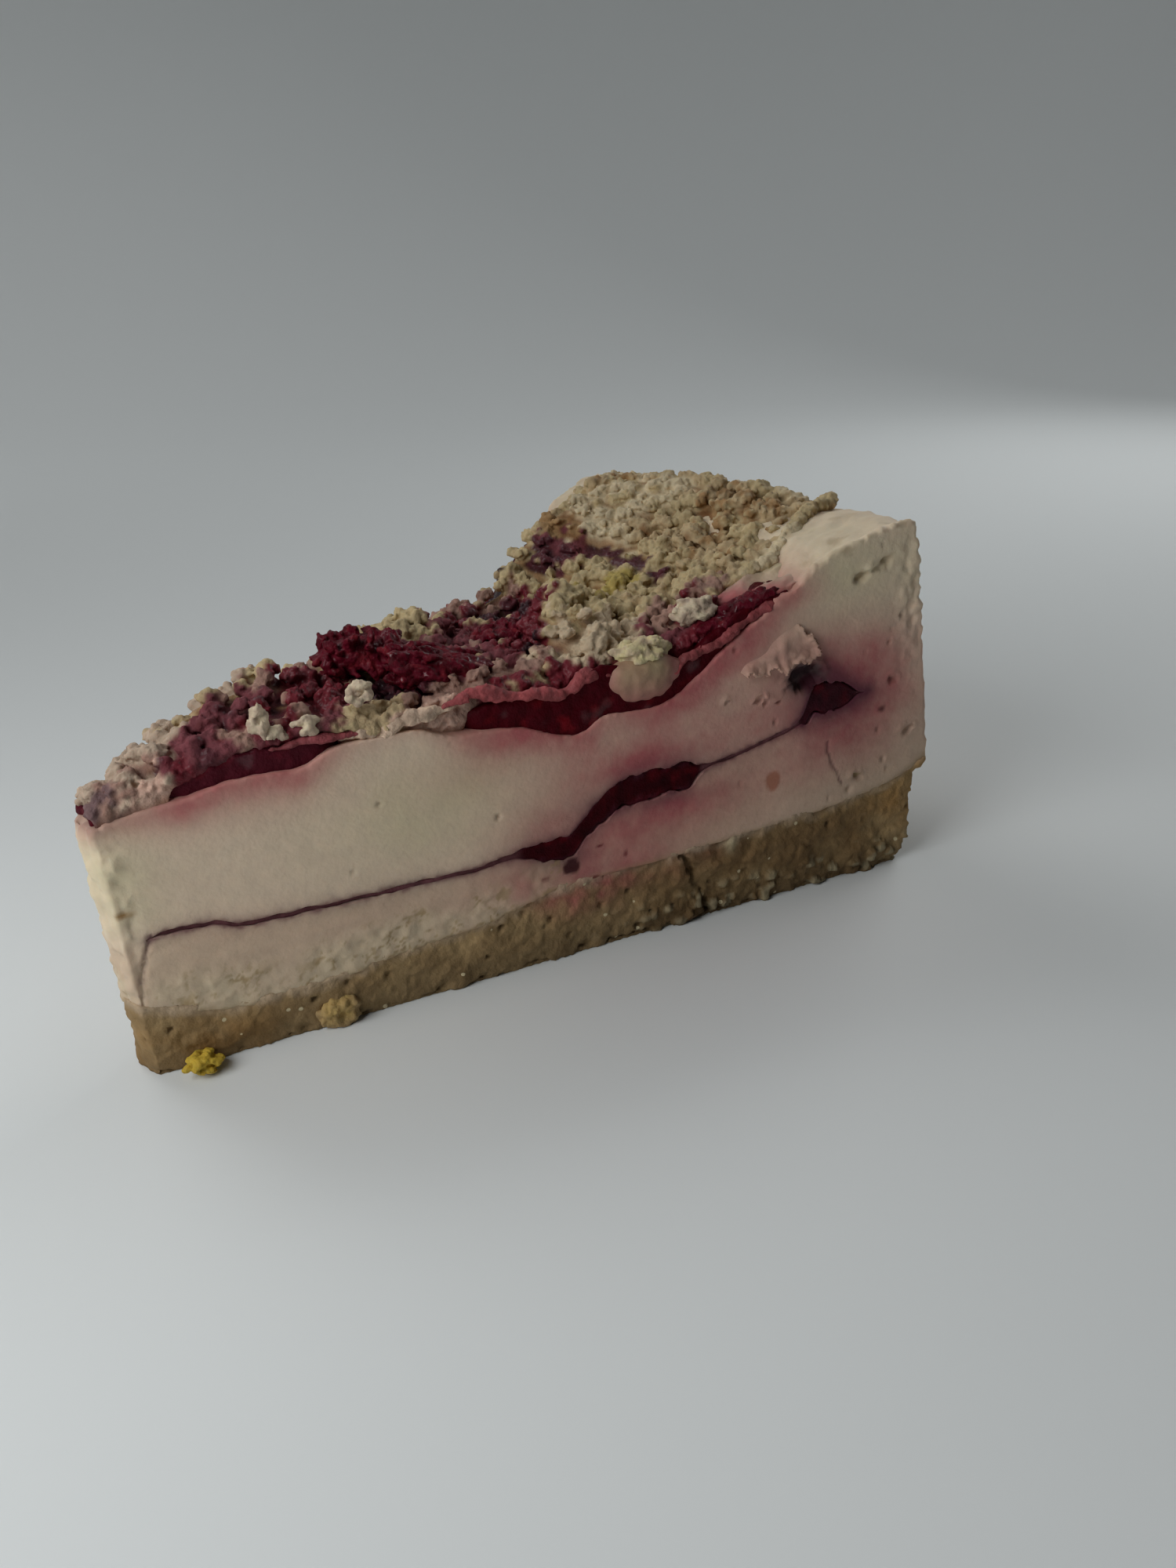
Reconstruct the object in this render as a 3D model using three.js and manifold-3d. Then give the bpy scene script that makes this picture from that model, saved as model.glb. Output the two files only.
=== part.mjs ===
// Slice of a strawberry crumb cheesecake, in millimetres, +Z up.
// The cake's axis stands at x = -AXIS_BACK, so the blunt tip points to -X and the rim to +X,
// and the slice rests on its flat crust at z = 0. The near cut face looks to -Y.

import * as THREE from 'three';
import { mergeVertices } from 'three/addons/utils/BufferGeometryUtils.js';
import { ImprovedNoise } from 'three/addons/math/ImprovedNoise.js';
import Module from 'manifold-3d';

const { clamp, degToRad, lerp, smoothstep } = THREE.MathUtils;

// Driving sizes of the cake and of the cut
const TIN_RADIUS = 114;
const SLICE_ANGLE = degToRad(32.3);
const AXIS_BACK = 62;
const TIP_RADIUS = 10.5;
const TIP_CROWN = 1.2;
const GAP = 0.3;

// Heights over the board, as [radius, height] along the near cut face
const CRUST_TOP = [[9, 10], [20, 6.9], [30, 6], [44, 8], [51, 7.6], [66, 12.1], [95, 12.8], [111, 14.3],
  [118, 17]];
const JAM_LINE = [[12, 18], [22, 17], [36, 16.3], [58, 15.6], [64, 17], [69, 20.8], [74, 22], [82, 22.2],
  [95, 24.4], [99, 28.6], [107, 27.8]];
const CREAM_TOP = [[9, 32], [20, 34], [36, 34.6], [48, 34.2], [58, 33], [65, 30.6], [69, 32.4], [77, 32.4],
  [82, 34.7], [88, 38.6], [97, 43.9], [103, 47.2], [113, 49]];

// Depths of the layers, as [radius, depth] along the near cut face
const JAM_DEPTH = [[12, 0.8], [56, 0.8], [61, 3], [66, 3.2], [70, 4.4], [75, 3.4], [80, 3.3], [83, 1],
  [94, 0.9], [98, 3.6], [101, 3.8], [107, 0.9]];
const SAUCE_DEPTH = [[9, 0.9], [16, 1.1], [21, 2.6], [27, 3.6], [38, 2.6], [47, 1], [54, 2.8], [61, 4.2],
  [66, 6.6], [71, 6], [78, 3.9], [86, 3.2], [95, 0.9], [101, 0]];
const CRUMB_DEPTH = [[9, 1.6], [20, 2], [32, 3], [48, 3.4], [60, 3], [72, 3], [86, 2.2], [95, 2.2],
  [112, 1.4]];

// Depths away from the near cut face, and the least depth that a layer keeps
const JAM_LEVEL = 1.4;
const JAM_LEAST = 0.75;
const SAUCE_LEVEL = 2.2;
const SAUCE_LEAST = 0.8;
const CRUMB_LEAST = 1;

// How far the outer wall stands out from the tin's radius, as [height, distance]
const WALL_BULGE = [[0, -0.6], [5, 1.3], [11, 1.1], [15.5, 3.6], [19, 3.4], [32, 1.9], [46, 0], [50, -1.2]];

// How far the pieces on top reach towards each cut face, as [radius, share of the half angle]
const CRUMB_NEAR = [[9, -0.86], [40, -0.9], [56, -0.82], [76, -0.78], [95, -0.72], [104, -0.58], [112, -0.5]];
const CRUMB_FAR = 0.95;
const SAUCE_NEAR = [[9, -0.97], [42, -0.99], [46, -0.86], [53, -0.86], [57, -1], [95, -1]];
const SAUCE_FAR = 0.97;

// Extent along the radius of the layers that end inside the slice
const JAM_START = 13;
const JAM_END = 105.5;
const SAUCE_START = 10.3;
const SAUCE_END = 95;
const CRUMB_START = 10.8;
const CRUMB_END = 112;

// Grid steps of each layer: along the radius and across the slice, then up
const BODY_STEPS = [28, 6];
const CRUST_STEPS_UP = 2;
const CREAM_STEPS_UP = 3;
const JAM_STEPS = [30, 4];
const SAUCE_STEPS = [26, 5];
const HEAP_STEPS = [30, 9];

// Unevenness of each surface: depth, lump size and seed
const CRUST_UNEVEN = { depth: 1, grain: 9, seed: 1.5 };
const JAM_WANDER = { depth: 2.2, grain: 24, seed: 4.5 };
const JAM_SWELL = { depth: 1.1, grain: 14, seed: 8.5 };
const CREAM_UNEVEN = { depth: 0.9, grain: 13, seed: 12.5 };
const SAUCE_UNEVEN = { depth: 0.4, grain: 5, seed: 16.5 };
const HEAP_UNEVEN = { depth: 1.1, grain: 4.2, seed: 21.5 };
const CRUST_FACE = { depth: 1.3, grain: 4.5, seed: 3 };
const CREAM_FACE = { depth: 0.5, grain: 7, seed: 6 };
const TIP_FACE = { depth: 0.35, grain: 5, seed: 30.5 };

// The cream is less hollow under the sauce away from the near face
const CREAM_HOLLOW = { radius: 65, width: 8, rise: 2 };

// Mounds and hollows of the heap: radius, share of the half angle, half widths along and across, height
const MOUNDS = [
  [71, -0.34, 9, 7, 5],
  [74, -0.08, 7, 4.5, 3.4],
  [58, 0.5, 6, 5, 2.2],
  [33, 0.1, 9, 5, 0.8],
  [66, 0.02, 4, 3.5, -1.8],
  [84, 0.85, 8, 5, 2],
  [90, 0.25, 3.2, 9, -1.7],
  [98, 0.8, 7, 9, 2.2],
  [107, 0.2, 5, 15, 1.4],
];

// Strawberry pieces: lift is over the cream, and half sizes run along, across and up
const STRAWBERRIES = [
  { radius: 45.5, share: 0.16, lift: 6.6, half: [4.8, 3.6, 3.2] },
  { radius: 52, share: -0.42, lift: 4.8, half: [6.4, 3.8, 3.2] },
  { radius: 66.5, share: 0.08, lift: 5.4, half: [4.4, 3.4, 2.8] },
  { radius: 88.5, share: -0.87, lift: 3.4, half: [6.2, 2.4, 1.9] },
];

// Cream pushed over the near edge, the lip where the sauce stands back from it, and lumps along the rim
const CREAM_LUMP = { radius: 74.2, share: -0.96, height: 35.8, half: [4, 2.2, 3.1] };
const CREAM_LIP = { radius: 47.5, share: -0.94, height: 34.6, half: [4.4, 1.6, 1] };
const RIM_LUMP = { radius: 110.5, height: 49.2, half: [1.6, 2.2, 1.3] };
const RIM_LUMP_SHARES = [-0.62, -0.72, -0.86];

// Marks on the near cut face: radius, height, half width, half height and half depth through the face
const FLAKE = [93, 37.5, 5.5, 3.6, 0.9];
const HOLES = [[97, 32.6, 2.8, 1.6, 2.4], [90.5, 32.6, 1.2, 0.8, 1.2], [108, 42.5, 1.2, 0.8, 1.2]];

// Crust marks: crags along both cut faces, a flap, a butter crumb at the foot, and a crack
const CRAGS = { start: 17, end: 112, step: 8.5, wander: 6, half: 1.2, rise: 0.13, depth: 0.7 };
const FLAP = { radius: 30.5, share: -1, height: 1.9, half: [2.8, 1.3, 1.1] };
const BUTTER_CRUMB = { radius: 15.5, share: -1.4, height: 1.8, half: [2.8, 2.3, 1.6] };
const CRACK = { radius: 80.5, share: -1, height: 5, half: [0.5, 1.6, 6], lean: 0.35 };

// Crumbs fused on the heap, on rings about the cake's axis
const CRUMB_RINGS = 16;
const CRUMB_SPACING = 4.9;
const CRUMB_WANDER = 4;
const CRUMB_INSET = 0.6;
const CRUMB_SMALL = 1.5;
const CRUMB_LARGE = 3;
const CRUMB_CLEARANCE = 1.2;

// How far a piece is drawn into what carries it before that cuts it, and how far a cutting copy overshoots
const UNDERCUT = 0.8;
const OVERSHOOT = 3;
const SEAM_OVERSHOOT = 1.2;

// Extra swell of the sauce where it slopes, as a factor
const STEEPNESS = 1.6;

const HALF_ANGLE = SLICE_ANGLE / 2;
const FULL_TURN = 2 * Math.PI;
const EDGE = 0.999;
const NEAR = -1;
const FAR = 1;
const noise = new ImprovedNoise();

const wasm = await Module();
wasm.setup();

// Smooth curve through a few [position, value] points, level beyond its ends
function curve(points) {
  const last = points.length - 1;
  const slope = (i) => {
    const [x0, y0] = points[Math.max(i - 1, 0)];
    const [x1, y1] = points[Math.min(i + 1, last)];
    return (y1 - y0) / (x1 - x0);
  };
  return (position) => {
    const x = clamp(position, points[0][0], points[last][0]);
    let i = 0;
    while (i < last - 1 && points[i + 1][0] < x) i += 1;
    const [x0, y0] = points[i];
    const [x1, y1] = points[i + 1];
    const width = x1 - x0;
    const t = (x - x0) / width;
    const s = 1 - t;
    const ends = y0 * (1 + 2 * t) * s * s + y1 * t * t * (3 - 2 * t);
    return ends + width * (slope(i) * t * s * s - slope(i + 1) * t * t * s);
  };
}

const crustTopAt = curve(CRUST_TOP);
const jamLineAt = curve(JAM_LINE);
const creamTopAt = curve(CREAM_TOP);
const jamDepthAt = curve(JAM_DEPTH);
const sauceDepthAt = curve(SAUCE_DEPTH);
const crumbDepthAt = curve(CRUMB_DEPTH);
const wallBulgeAt = curve(WALL_BULGE);
const crumbNearAt = curve(CRUMB_NEAR);
const sauceNearAt = curve(SAUCE_NEAR);

// Repeatable random numbers from 0 to 1
function randomFrom(seed) {
  let state = seed;
  return () => {
    state = (state + 0x6d2b79f5) | 0;
    let t = Math.imul(state ^ (state >>> 15), 1 | state);
    t = (t + Math.imul(t ^ (t >>> 7), 61 | t)) ^ t;
    return ((t ^ (t >>> 14)) >>> 0) / 4294967296;
  };
}

// Point at a radius from the cake's axis, a share of the half angle and a height
function place(radius, share, height) {
  const angle = share * HALF_ANGLE;
  return new THREE.Vector3(radius * Math.cos(angle) - AXIS_BACK, radius * Math.sin(angle), height);
}

// Unevenness of a layer in plan
function uneven({ depth, grain, seed }, radius, share) {
  const p = place(radius, share, 0);
  return depth * noise.noise(p.x / grain, p.y / grain, seed);
}

// Share of the way from the near cut face to the far one
function away(share) {
  return (share - NEAR) / (FAR - NEAR);
}

// Surfaces between the layers
function crustTop(radius, share) {
  return crustTopAt(radius) + (1.5 - share * share) * uneven(CRUST_UNEVEN, radius, share);
}

function jamMiddle(radius, share) {
  return jamLineAt(radius) + away(share) * uneven(JAM_WANDER, radius, share);
}

function jamDepth(radius, share) {
  const depth = lerp(jamDepthAt(radius), JAM_LEVEL, away(share) / 2);
  return Math.max(JAM_LEAST, depth + away(share) * uneven(JAM_SWELL, radius, share));
}

function creamTop(radius, share) {
  const hollow = Math.exp(-(((radius - CREAM_HOLLOW.radius) / CREAM_HOLLOW.width) ** 2));
  return creamTopAt(radius) + CREAM_HOLLOW.rise * away(share) * hollow + uneven(CREAM_UNEVEN, radius, share);
}

function sauceTop(radius, share) {
  const atEdge = sauceDepthAt(radius);
  const depth = lerp(atEdge, Math.min(SAUCE_LEVEL, atEdge), Math.min(1, 3 * away(share)));
  const ripple = radius < SAUCE_END ? uneven(SAUCE_UNEVEN, radius, share) : 0;
  const least = radius < SAUCE_END ? SAUCE_LEAST : 0;
  return creamTop(radius, share) + GAP + Math.max(least, depth + ripple);
}

function heapMounds(radius, share) {
  let height = 0;
  for (const [r, s, along, across, rise] of MOUNDS) {
    const sideways = radius * (share - s) * HALF_ANGLE;
    height += rise * Math.exp(-(((radius - r) / along) ** 2) - (sideways / across) ** 2);
  }
  return height;
}

// The heap thins out towards its own edges
function heapTop(radius, share) {
  const toSide = Math.min(share - crumbNearAt(radius), CRUMB_FAR - share) * radius * HALF_ANGLE;
  const toEnd = Math.min(radius - CRUMB_START, CRUMB_END - radius);
  const edge = smoothstep(Math.min(toSide, toEnd), -CRUMB_SMALL, CRUMB_LARGE);
  const depth = crumbDepthAt(radius) + heapMounds(radius, share) + uneven(HEAP_UNEVEN, radius, share);
  return sauceTop(radius, share) + GAP + Math.max(CRUMB_LEAST, depth * edge);
}

// Radius at a share of the way from the blunt tip to the rim, for a height
function radiusAt(along, share, height) {
  const rough = TIP_FACE.depth * noise.noise(share * 3, height / TIP_FACE.grain, TIP_FACE.seed);
  const tip = TIP_RADIUS - TIP_CROWN * (1 - share * share) + rough;
  return lerp(tip, TIN_RADIUS + wallBulgeAt(height), along);
}

// Closed mesh with its shared points merged
function closed(geometry) {
  geometry.deleteAttribute('normal');
  geometry.deleteAttribute('uv');
  return mergeVertices(geometry, 1e-5);
}

// Grid of a layer: shape gets the shares along (0 to 1), across (-1 to 1) and up (0 to 1)
function layer([along, across], up, shape) {
  const grid = closed(new THREE.BoxGeometry(1, 1, 1, along, across, up));
  const points = grid.attributes.position;
  for (let i = 0; i < points.count; i += 1) {
    const p = shape(points.getX(i) + 0.5, points.getY(i) * 2, points.getZ(i) + 0.5);
    points.setXYZ(i, p.x, p.y, p.z);
  }
  return grid;
}

// Pushes a point of a cut face outwards
function pushOut(point, share, distance) {
  if (Math.abs(share) < EDGE) return point;
  point.x -= Math.sin(HALF_ANGLE) * distance;
  point.y += Math.sign(share) * Math.cos(HALF_ANGLE) * distance;
  return point;
}

// Pushes a point of a cut face in and out by its own roughness
function roughen(point, share, { depth, grain, seed }) {
  return pushOut(point, share, depth * noise.noise(point.x / grain, point.z / grain, seed + share));
}

// Distance added to the radius of the first and the last points along a layer
function endReach(along, distance) {
  const share = 2 * along - 1;
  return Math.abs(share) < EDGE ? 0 : Math.sign(share) * distance;
}

// Level between crust and cheesecake at a grid point
function seatLevel(along, across) {
  return crustTop(radiusAt(along, across, crustTopAt(TIP_RADIUS)), across);
}

function crustSlab() {
  return layer(BODY_STEPS, CRUST_STEPS_UP, (along, across, up) => {
    const height = up * (seatLevel(along, across) + UNDERCUT);
    return roughen(place(radiusAt(along, across, height), across, height), across, CRUST_FACE);
  });
}

// Cheesecake before its cuts: swell and reach make the larger copy that cuts the pieces touching it
function creamBody(swell, reach) {
  return layer(BODY_STEPS, CREAM_STEPS_UP, (along, across, up) => {
    const low = seatLevel(along, across) + GAP - swell;
    const high = creamTop(radiusAt(along, across, creamTopAt(TIN_RADIUS)), across) + swell;
    const height = lerp(low, high, up);
    const radius = radiusAt(along, across, height) + endReach(along, reach);
    return pushOut(roughen(place(radius, across, height), across, CREAM_FACE), across, reach);
  });
}

// Seam between the two pours: swell thickens it and reach carries it past the cut faces
function jamSeam(swell, reach) {
  return layer(JAM_STEPS, 1, (along, across, up) => {
    const radius = lerp(JAM_START, JAM_END, along);
    const half = jamDepth(radius, across) / 2 + swell;
    const height = jamMiddle(radius, across) + (up * 2 - 1) * half;
    return pushOut(place(radius + endReach(along, swell), across, height), across, reach);
  });
}

function sauceSheet(swell) {
  return layer(SAUCE_STEPS, 1, (along, across, up) => {
    const radius = lerp(SAUCE_START, SAUCE_END, along);
    const share = lerp(sauceNearAt(radius), SAUCE_FAR, away(across));
    const height = lerp(creamTop(radius, share) - UNDERCUT, sauceTop(radius, share) + STEEPNESS * swell, up);
    return pushOut(place(radius + endReach(along, swell), share, height), across, swell);
  });
}

function crumbCore() {
  return layer(HEAP_STEPS, 1, (along, across, up) => {
    const radius = lerp(CRUMB_START, CRUMB_END, along);
    const share = lerp(crumbNearAt(radius), CRUMB_FAR, away(across));
    return place(radius, share, lerp(creamTop(radius, share) - UNDERCUT, heapTop(radius, share), up));
  });
}

// Uneven lump: half sizes along x, y and z, its place, its turn and how deep its dents are
function lump(detail, half, at, turn, dents, seed) {
  const shape = closed(new THREE.IcosahedronGeometry(1, detail));
  const points = shape.attributes.position;
  const spin = new THREE.Quaternion().setFromEuler(turn);
  const p = new THREE.Vector3();
  for (let i = 0; i < points.count; i += 1) {
    p.fromBufferAttribute(points, i);
    const swell = 1 + dents * noise.noise(p.x * 1.6 + seed, p.y * 1.6, p.z * 1.6 + seed / 3);
    p.multiplyScalar(swell).multiply(half).applyQuaternion(spin).add(at);
    points.setXYZ(i, p.x, p.y, p.z);
  }
  return shape;
}

// Lump set by a row of the tables above, grown by swell and turned in line with the near cut face
function placedLump(detail, row, swell, dents, seed) {
  const half = new THREE.Vector3(...row.half).addScalar(swell);
  const turn = new THREE.Euler(0, row.lean ?? 0, -HALF_ANGLE);
  return lump(detail, half, place(row.radius, row.share, row.height), turn, dents, seed);
}

// Lump on a cut face, flattened against it
function faceLump(side, [radius, height, along, up, through], swell, seed) {
  const half = new THREE.Vector3(along, through, up).addScalar(swell);
  const turn = new THREE.Euler(0, 0, side * HALF_ANGLE);
  return lump(0, half, place(radius, side, height), turn, 0.5, seed);
}

function solidOf(geometry) {
  const vertProperties = new Float32Array(geometry.attributes.position.array);
  const triVerts = new Uint32Array(geometry.index.array);
  return new wasm.Manifold(new wasm.Mesh({ numProp: 3, vertProperties, triVerts }));
}

function geometryOf(solid) {
  const { vertProperties, triVerts, numProp } = solid.getMesh();
  const geometry = new THREE.BufferGeometry();
  geometry.setAttribute('position', new THREE.BufferAttribute(new Float32Array(vertProperties), numProp));
  geometry.setIndex(new THREE.BufferAttribute(new Uint32Array(triVerts), 1));
  return geometry;
}

function joined(base, extras) {
  return extras.reduce((solid, extra) => solid.add(solidOf(extra)), solidOf(base));
}

function cut(solid, tools) {
  return tools.reduce((rest, tool) => rest.subtract(tool), solid);
}

// A cut can leave loose scraps, and only the largest piece is kept
function largest(solid) {
  return solid.decompose().reduce((best, piece) => (piece.volume() > best.volume() ? piece : best));
}

// Crust: crags on both cut faces, a flap and a butter crumb at its foot, and an open crack
function crust() {
  const random = randomFrom(11);
  const crags = [];
  for (const side of [NEAR, FAR]) {
    for (let radius = CRAGS.start; radius < CRAGS.end; radius += CRAGS.step) {
      const level = crustTopAt(radius);
      const height = level * lerp(0.25, 0.75, random());
      const along = CRAGS.half * (1 + random() ** 2);
      const up = level * CRAGS.rise * (1 + random());
      const row = [radius + CRAGS.wander * random(), height, along, up, CRAGS.depth];
      crags.push(faceLump(side, row, 0, radius));
    }
  }
  const foot = [placedLump(0, FLAP, 0, 0.5, 5), placedLump(0, BUTTER_CRUMB, 0, 0.4, 9)];
  const slab = joined(crustSlab(), [...crags, ...foot]);
  return cut(slab, [placedLump(0, CRACK, 0, 0.6, 2), creamBody(GAP, OVERSHOOT)].map(solidOf));
}

// Outside of the cheesecake, with its peeled flake, the lip under the crumbs and lumps along the rim
function creamOutside(swell) {
  const marks = [faceLump(NEAR, FLAKE, swell, 4), placedLump(1, CREAM_LIP, swell, 0.4, 7)];
  RIM_LUMP_SHARES.forEach((share, i) => marks.push(placedLump(0, { ...RIM_LUMP, share }, swell, 0.5, i * 5)));
  return joined(creamBody(swell, swell), marks);
}

// Cheesecake: two pours around the jam, with a hole and pits near the rim
function cheesecake() {
  const holes = HOLES.map((row, i) => faceLump(NEAR, row, 0, i));
  return cut(creamOutside(0), [jamSeam(GAP, SEAM_OVERSHOOT), ...holes].map(solidOf));
}

// Row of a strawberry piece with its height over the board
function strawberryRow({ radius, share, lift, half }) {
  return { radius, share, height: creamTopAt(radius) + lift, half };
}

function strawberryLump(piece, index, swell) {
  return placedLump(2, strawberryRow(piece), swell, 0.35, 40 + index * 7);
}

// The fruit sinks no deeper than the sauce and the cream that carry it
function strawberryPiece(piece, index) {
  return cut(solidOf(strawberryLump(piece, index, 0)), [creamOutside(GAP), solidOf(sauceSheet(GAP))]);
}

function creamBulge(swell) {
  return placedLump(2, CREAM_LUMP, swell, 0.3, 21);
}

function creamLump() {
  return cut(solidOf(creamBulge(0)), [creamOutside(GAP)]);
}

function strawberrySauce() {
  return cut(solidOf(sauceSheet(0)), [creamOutside(GAP), solidOf(creamBulge(GAP))]);
}

// True where a crumb would come too close to a piece that lies in the heap
function crumbIsBlocked(centre, size) {
  return [...STRAWBERRIES.map(strawberryRow), CREAM_LUMP].some(({ radius, share, height, half }) => {
    const reach = new THREE.Vector3(...half).addScalar(size + GAP);
    return centre.clone().sub(place(radius, share, height)).divide(reach).length() < CRUMB_CLEARANCE;
  });
}

// Crumb on the heap's surface, of a random size, shape and turn
function crumb(random, radius, share) {
  const size = lerp(CRUMB_SMALL, CRUMB_LARGE, random() ** 2);
  const centre = place(radius, share, heapTop(radius, share) - 0.1 * size);
  const half = new THREE.Vector3(size, size * (0.75 + 0.4 * random()), size * (0.7 + 0.3 * random()));
  const turn = new THREE.Euler(FULL_TURN * random(), FULL_TURN * random(), FULL_TURN * random());
  const shape = lump(0, half, centre, turn, 0.7, 90 * random());
  return crumbIsBlocked(centre, size) ? null : shape;
}

function crumbs() {
  const random = randomFrom(2024);
  const [first, last] = [CRUMB_START + CRUMB_INSET, CRUMB_END - CRUMB_INSET];
  const pieces = [];
  for (let ring = 0; ring < CRUMB_RINGS; ring += 1) {
    const middle = lerp(first, last, ring / (CRUMB_RINGS - 1));
    const near = crumbNearAt(middle);
    const count = Math.max(2, Math.round(((CRUMB_FAR - near) * middle * HALF_ANGLE) / CRUMB_SPACING));
    for (let i = 0; i < count; i += 1) {
      const share = lerp(near, CRUMB_FAR, (i + 0.25 + 0.5 * random()) / count);
      const radius = clamp(middle + CRUMB_WANDER * (random() - 0.5), first, last);
      pieces.push(crumb(random, radius, share));
    }
  }
  return pieces.filter((piece) => piece !== null);
}

function crumbTopping() {
  const beds = [...STRAWBERRIES.map((piece, i) => strawberryLump(piece, i, GAP)), creamBulge(GAP)];
  const heap = joined(crumbCore(), crumbs());
  return largest(cut(heap, [creamOutside(GAP), ...[sauceSheet(GAP), ...beds].map(solidOf)]));
}

// Colours and finishes
const sandyCrust = new THREE.MeshStandardMaterial({ color: 0xb0926a, roughness: 0.85, metalness: 0 });
const creamWhite = new THREE.MeshStandardMaterial({ color: 0xeadfc4, roughness: 0.55, metalness: 0 });
const darkJam = new THREE.MeshStandardMaterial({ color: 0x5a0d1c, roughness: 0.25, metalness: 0 });
const wetFruit = new THREE.MeshStandardMaterial({ color: 0x8f1c28, roughness: 0.2, metalness: 0 });
const paleCrumb = new THREE.MeshStandardMaterial({ color: 0xcdb98a, roughness: 0.9, metalness: 0 });

const slice = new THREE.Group();

function addMesh(name, solid, material) {
  const mesh = new THREE.Mesh(geometryOf(solid), material);
  mesh.name = name;
  slice.add(mesh);
}

addMesh('crust', crust(), sandyCrust);
addMesh('cheesecake', cheesecake(), creamWhite);
addMesh('strawberry_seam', solidOf(jamSeam(0, 0)), darkJam);
addMesh('strawberry_sauce', strawberrySauce(), darkJam);
addMesh('crumb_topping', crumbTopping(), paleCrumb);
addMesh('cream_lump', creamLump(), creamWhite);
STRAWBERRIES.forEach((piece, i) => addMesh(`strawberry_piece_${i + 1}`, strawberryPiece(piece, i), wetFruit));

export default slice;
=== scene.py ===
"""Looks of a strawberry crumb cheesecake slice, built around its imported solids.

A place on the slice is its radius from the cake's axis, its share of the half angle
(-1 at the near cut face, 1 at the far one) and its height, all lengths in millimetres.
Meshes are in metres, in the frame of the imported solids.
"""

import logging
import math
from dataclasses import dataclass, field
from enum import Enum, IntEnum
from itertools import product

import bpy
import numpy as np
from mathutils import Matrix, Vector, kdtree


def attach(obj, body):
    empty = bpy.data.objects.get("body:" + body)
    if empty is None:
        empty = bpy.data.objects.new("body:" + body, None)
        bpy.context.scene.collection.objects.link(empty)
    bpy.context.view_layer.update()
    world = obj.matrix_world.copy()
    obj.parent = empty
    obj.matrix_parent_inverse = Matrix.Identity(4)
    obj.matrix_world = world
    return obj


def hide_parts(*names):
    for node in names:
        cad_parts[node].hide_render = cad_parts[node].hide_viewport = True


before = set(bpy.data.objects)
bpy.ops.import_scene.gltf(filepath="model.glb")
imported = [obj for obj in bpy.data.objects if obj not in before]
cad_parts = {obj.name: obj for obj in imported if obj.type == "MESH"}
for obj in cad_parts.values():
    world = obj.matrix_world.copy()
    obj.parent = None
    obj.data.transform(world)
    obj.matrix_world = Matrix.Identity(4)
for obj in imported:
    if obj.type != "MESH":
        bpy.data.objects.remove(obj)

log = logging.getLogger("slice")

Array = np.ndarray
Piece = bpy.types.Object

MM = 0.001
HALF_ANGLE = math.radians(32.3) / 2
AXIS_BACK = 62.0
TIN_RADIUS = 114.0
TIP_RADIUS = 10.5
TIP_CROWN = 1.2
NEAR_FACE = -0.9
AROUND = (math.cos(HALF_ANGLE), -math.sin(HALF_ANGLE), 0)
COARSE = 1.0


class Slot(Enum):
    """Material slots of the slice."""

    CRUST = "crust"
    CREAM = "cream"
    SAUCE = "sauce"
    CRUMB = "crumb"
    FRUIT = "fruit"


class Remesh(Enum):
    """Sizes of the even meshes, in millimetres."""

    BODY = 0.32
    CRUMB = 0.205
    FINE = 0.2
    SAUCE = 0.36


@dataclass(frozen=True)
class Curve:
    """Smooth curve through a few (position, value) points, level beyond its ends."""

    points: tuple

    def __call__(self, position: Array) -> Array:
        """Value of the curve.

        Args:
            position: Where to read it, as one number or an array.

        Returns:
            The value at each position.
        """
        x, y = np.array(self.points, float).T
        slopes = np.empty_like(y)
        slopes[1:-1] = (y[2:] - y[:-2]) / (x[2:] - x[:-2])
        slopes[0] = (y[1] - y[0]) / (x[1] - x[0])
        slopes[-1] = (y[-1] - y[-2]) / (x[-1] - x[-2])
        at = np.clip(position, x[0], x[-1])
        i = np.clip(np.searchsorted(x, at) - 1, 0, len(x) - 2)
        width = x[i + 1] - x[i]
        t = (at - x[i]) / width
        s = 1 - t
        ends = y[i] * (1 + 2 * t) * s * s + y[i + 1] * t * t * (3 - 2 * t)
        return ends + width * (slopes[i] * t * s * s - slopes[i + 1] * t * t * s)


@dataclass(frozen=True)
class Spot:
    """Soft oval on the near cut face."""

    radius: float
    height: float
    half_radius: float
    half_height: float
    amount: float = 1.0

    def at(self, radius: Array, height: Array) -> Array:
        """Amount at each place, which fades out around the centre."""
        along, up = (radius - self.radius) / self.half_radius, (height - self.height) / self.half_height
        return self.amount * np.exp(-(along**2) - up**2)


@dataclass(frozen=True)
class Patch:
    """Oval area of the topping, in millimetres along the radius and across it."""

    radius: float
    across: float
    half_radius: float
    half_across: float
    amount: float = 1.0

    def reach(self, radius: Array, share: Array) -> Array:
        """Distance from the centre, which is 1 on the outline."""
        across = radius * share * HALF_ANGLE
        return np.hypot((radius - self.radius) / self.half_radius, (across - self.across) / self.half_across)

    def soft(self, radius: Array, share: Array) -> Array:
        """Amount at each place, which fades out around the outline."""
        return self.amount * np.exp(-self.reach(radius, share) ** 2)


def patches(*rows: tuple) -> tuple:
    """Patches from rows of their values."""
    return tuple(Patch(*row) for row in rows)


def spots(*rows: tuple) -> tuple:
    """Spots from rows of their values."""
    return tuple(Spot(*row) for row in rows)


def total(stains: tuple, radius: Array, height: Array) -> Array:
    """Sum of several spots at each place."""
    return sum(stain.at(radius, height) for stain in stains)


def lerp(a: Array, b: Array, share: Array) -> Array:
    """Value a share of the way from a to b, where share may be an array of rows."""
    return a + (b - a) * share


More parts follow.
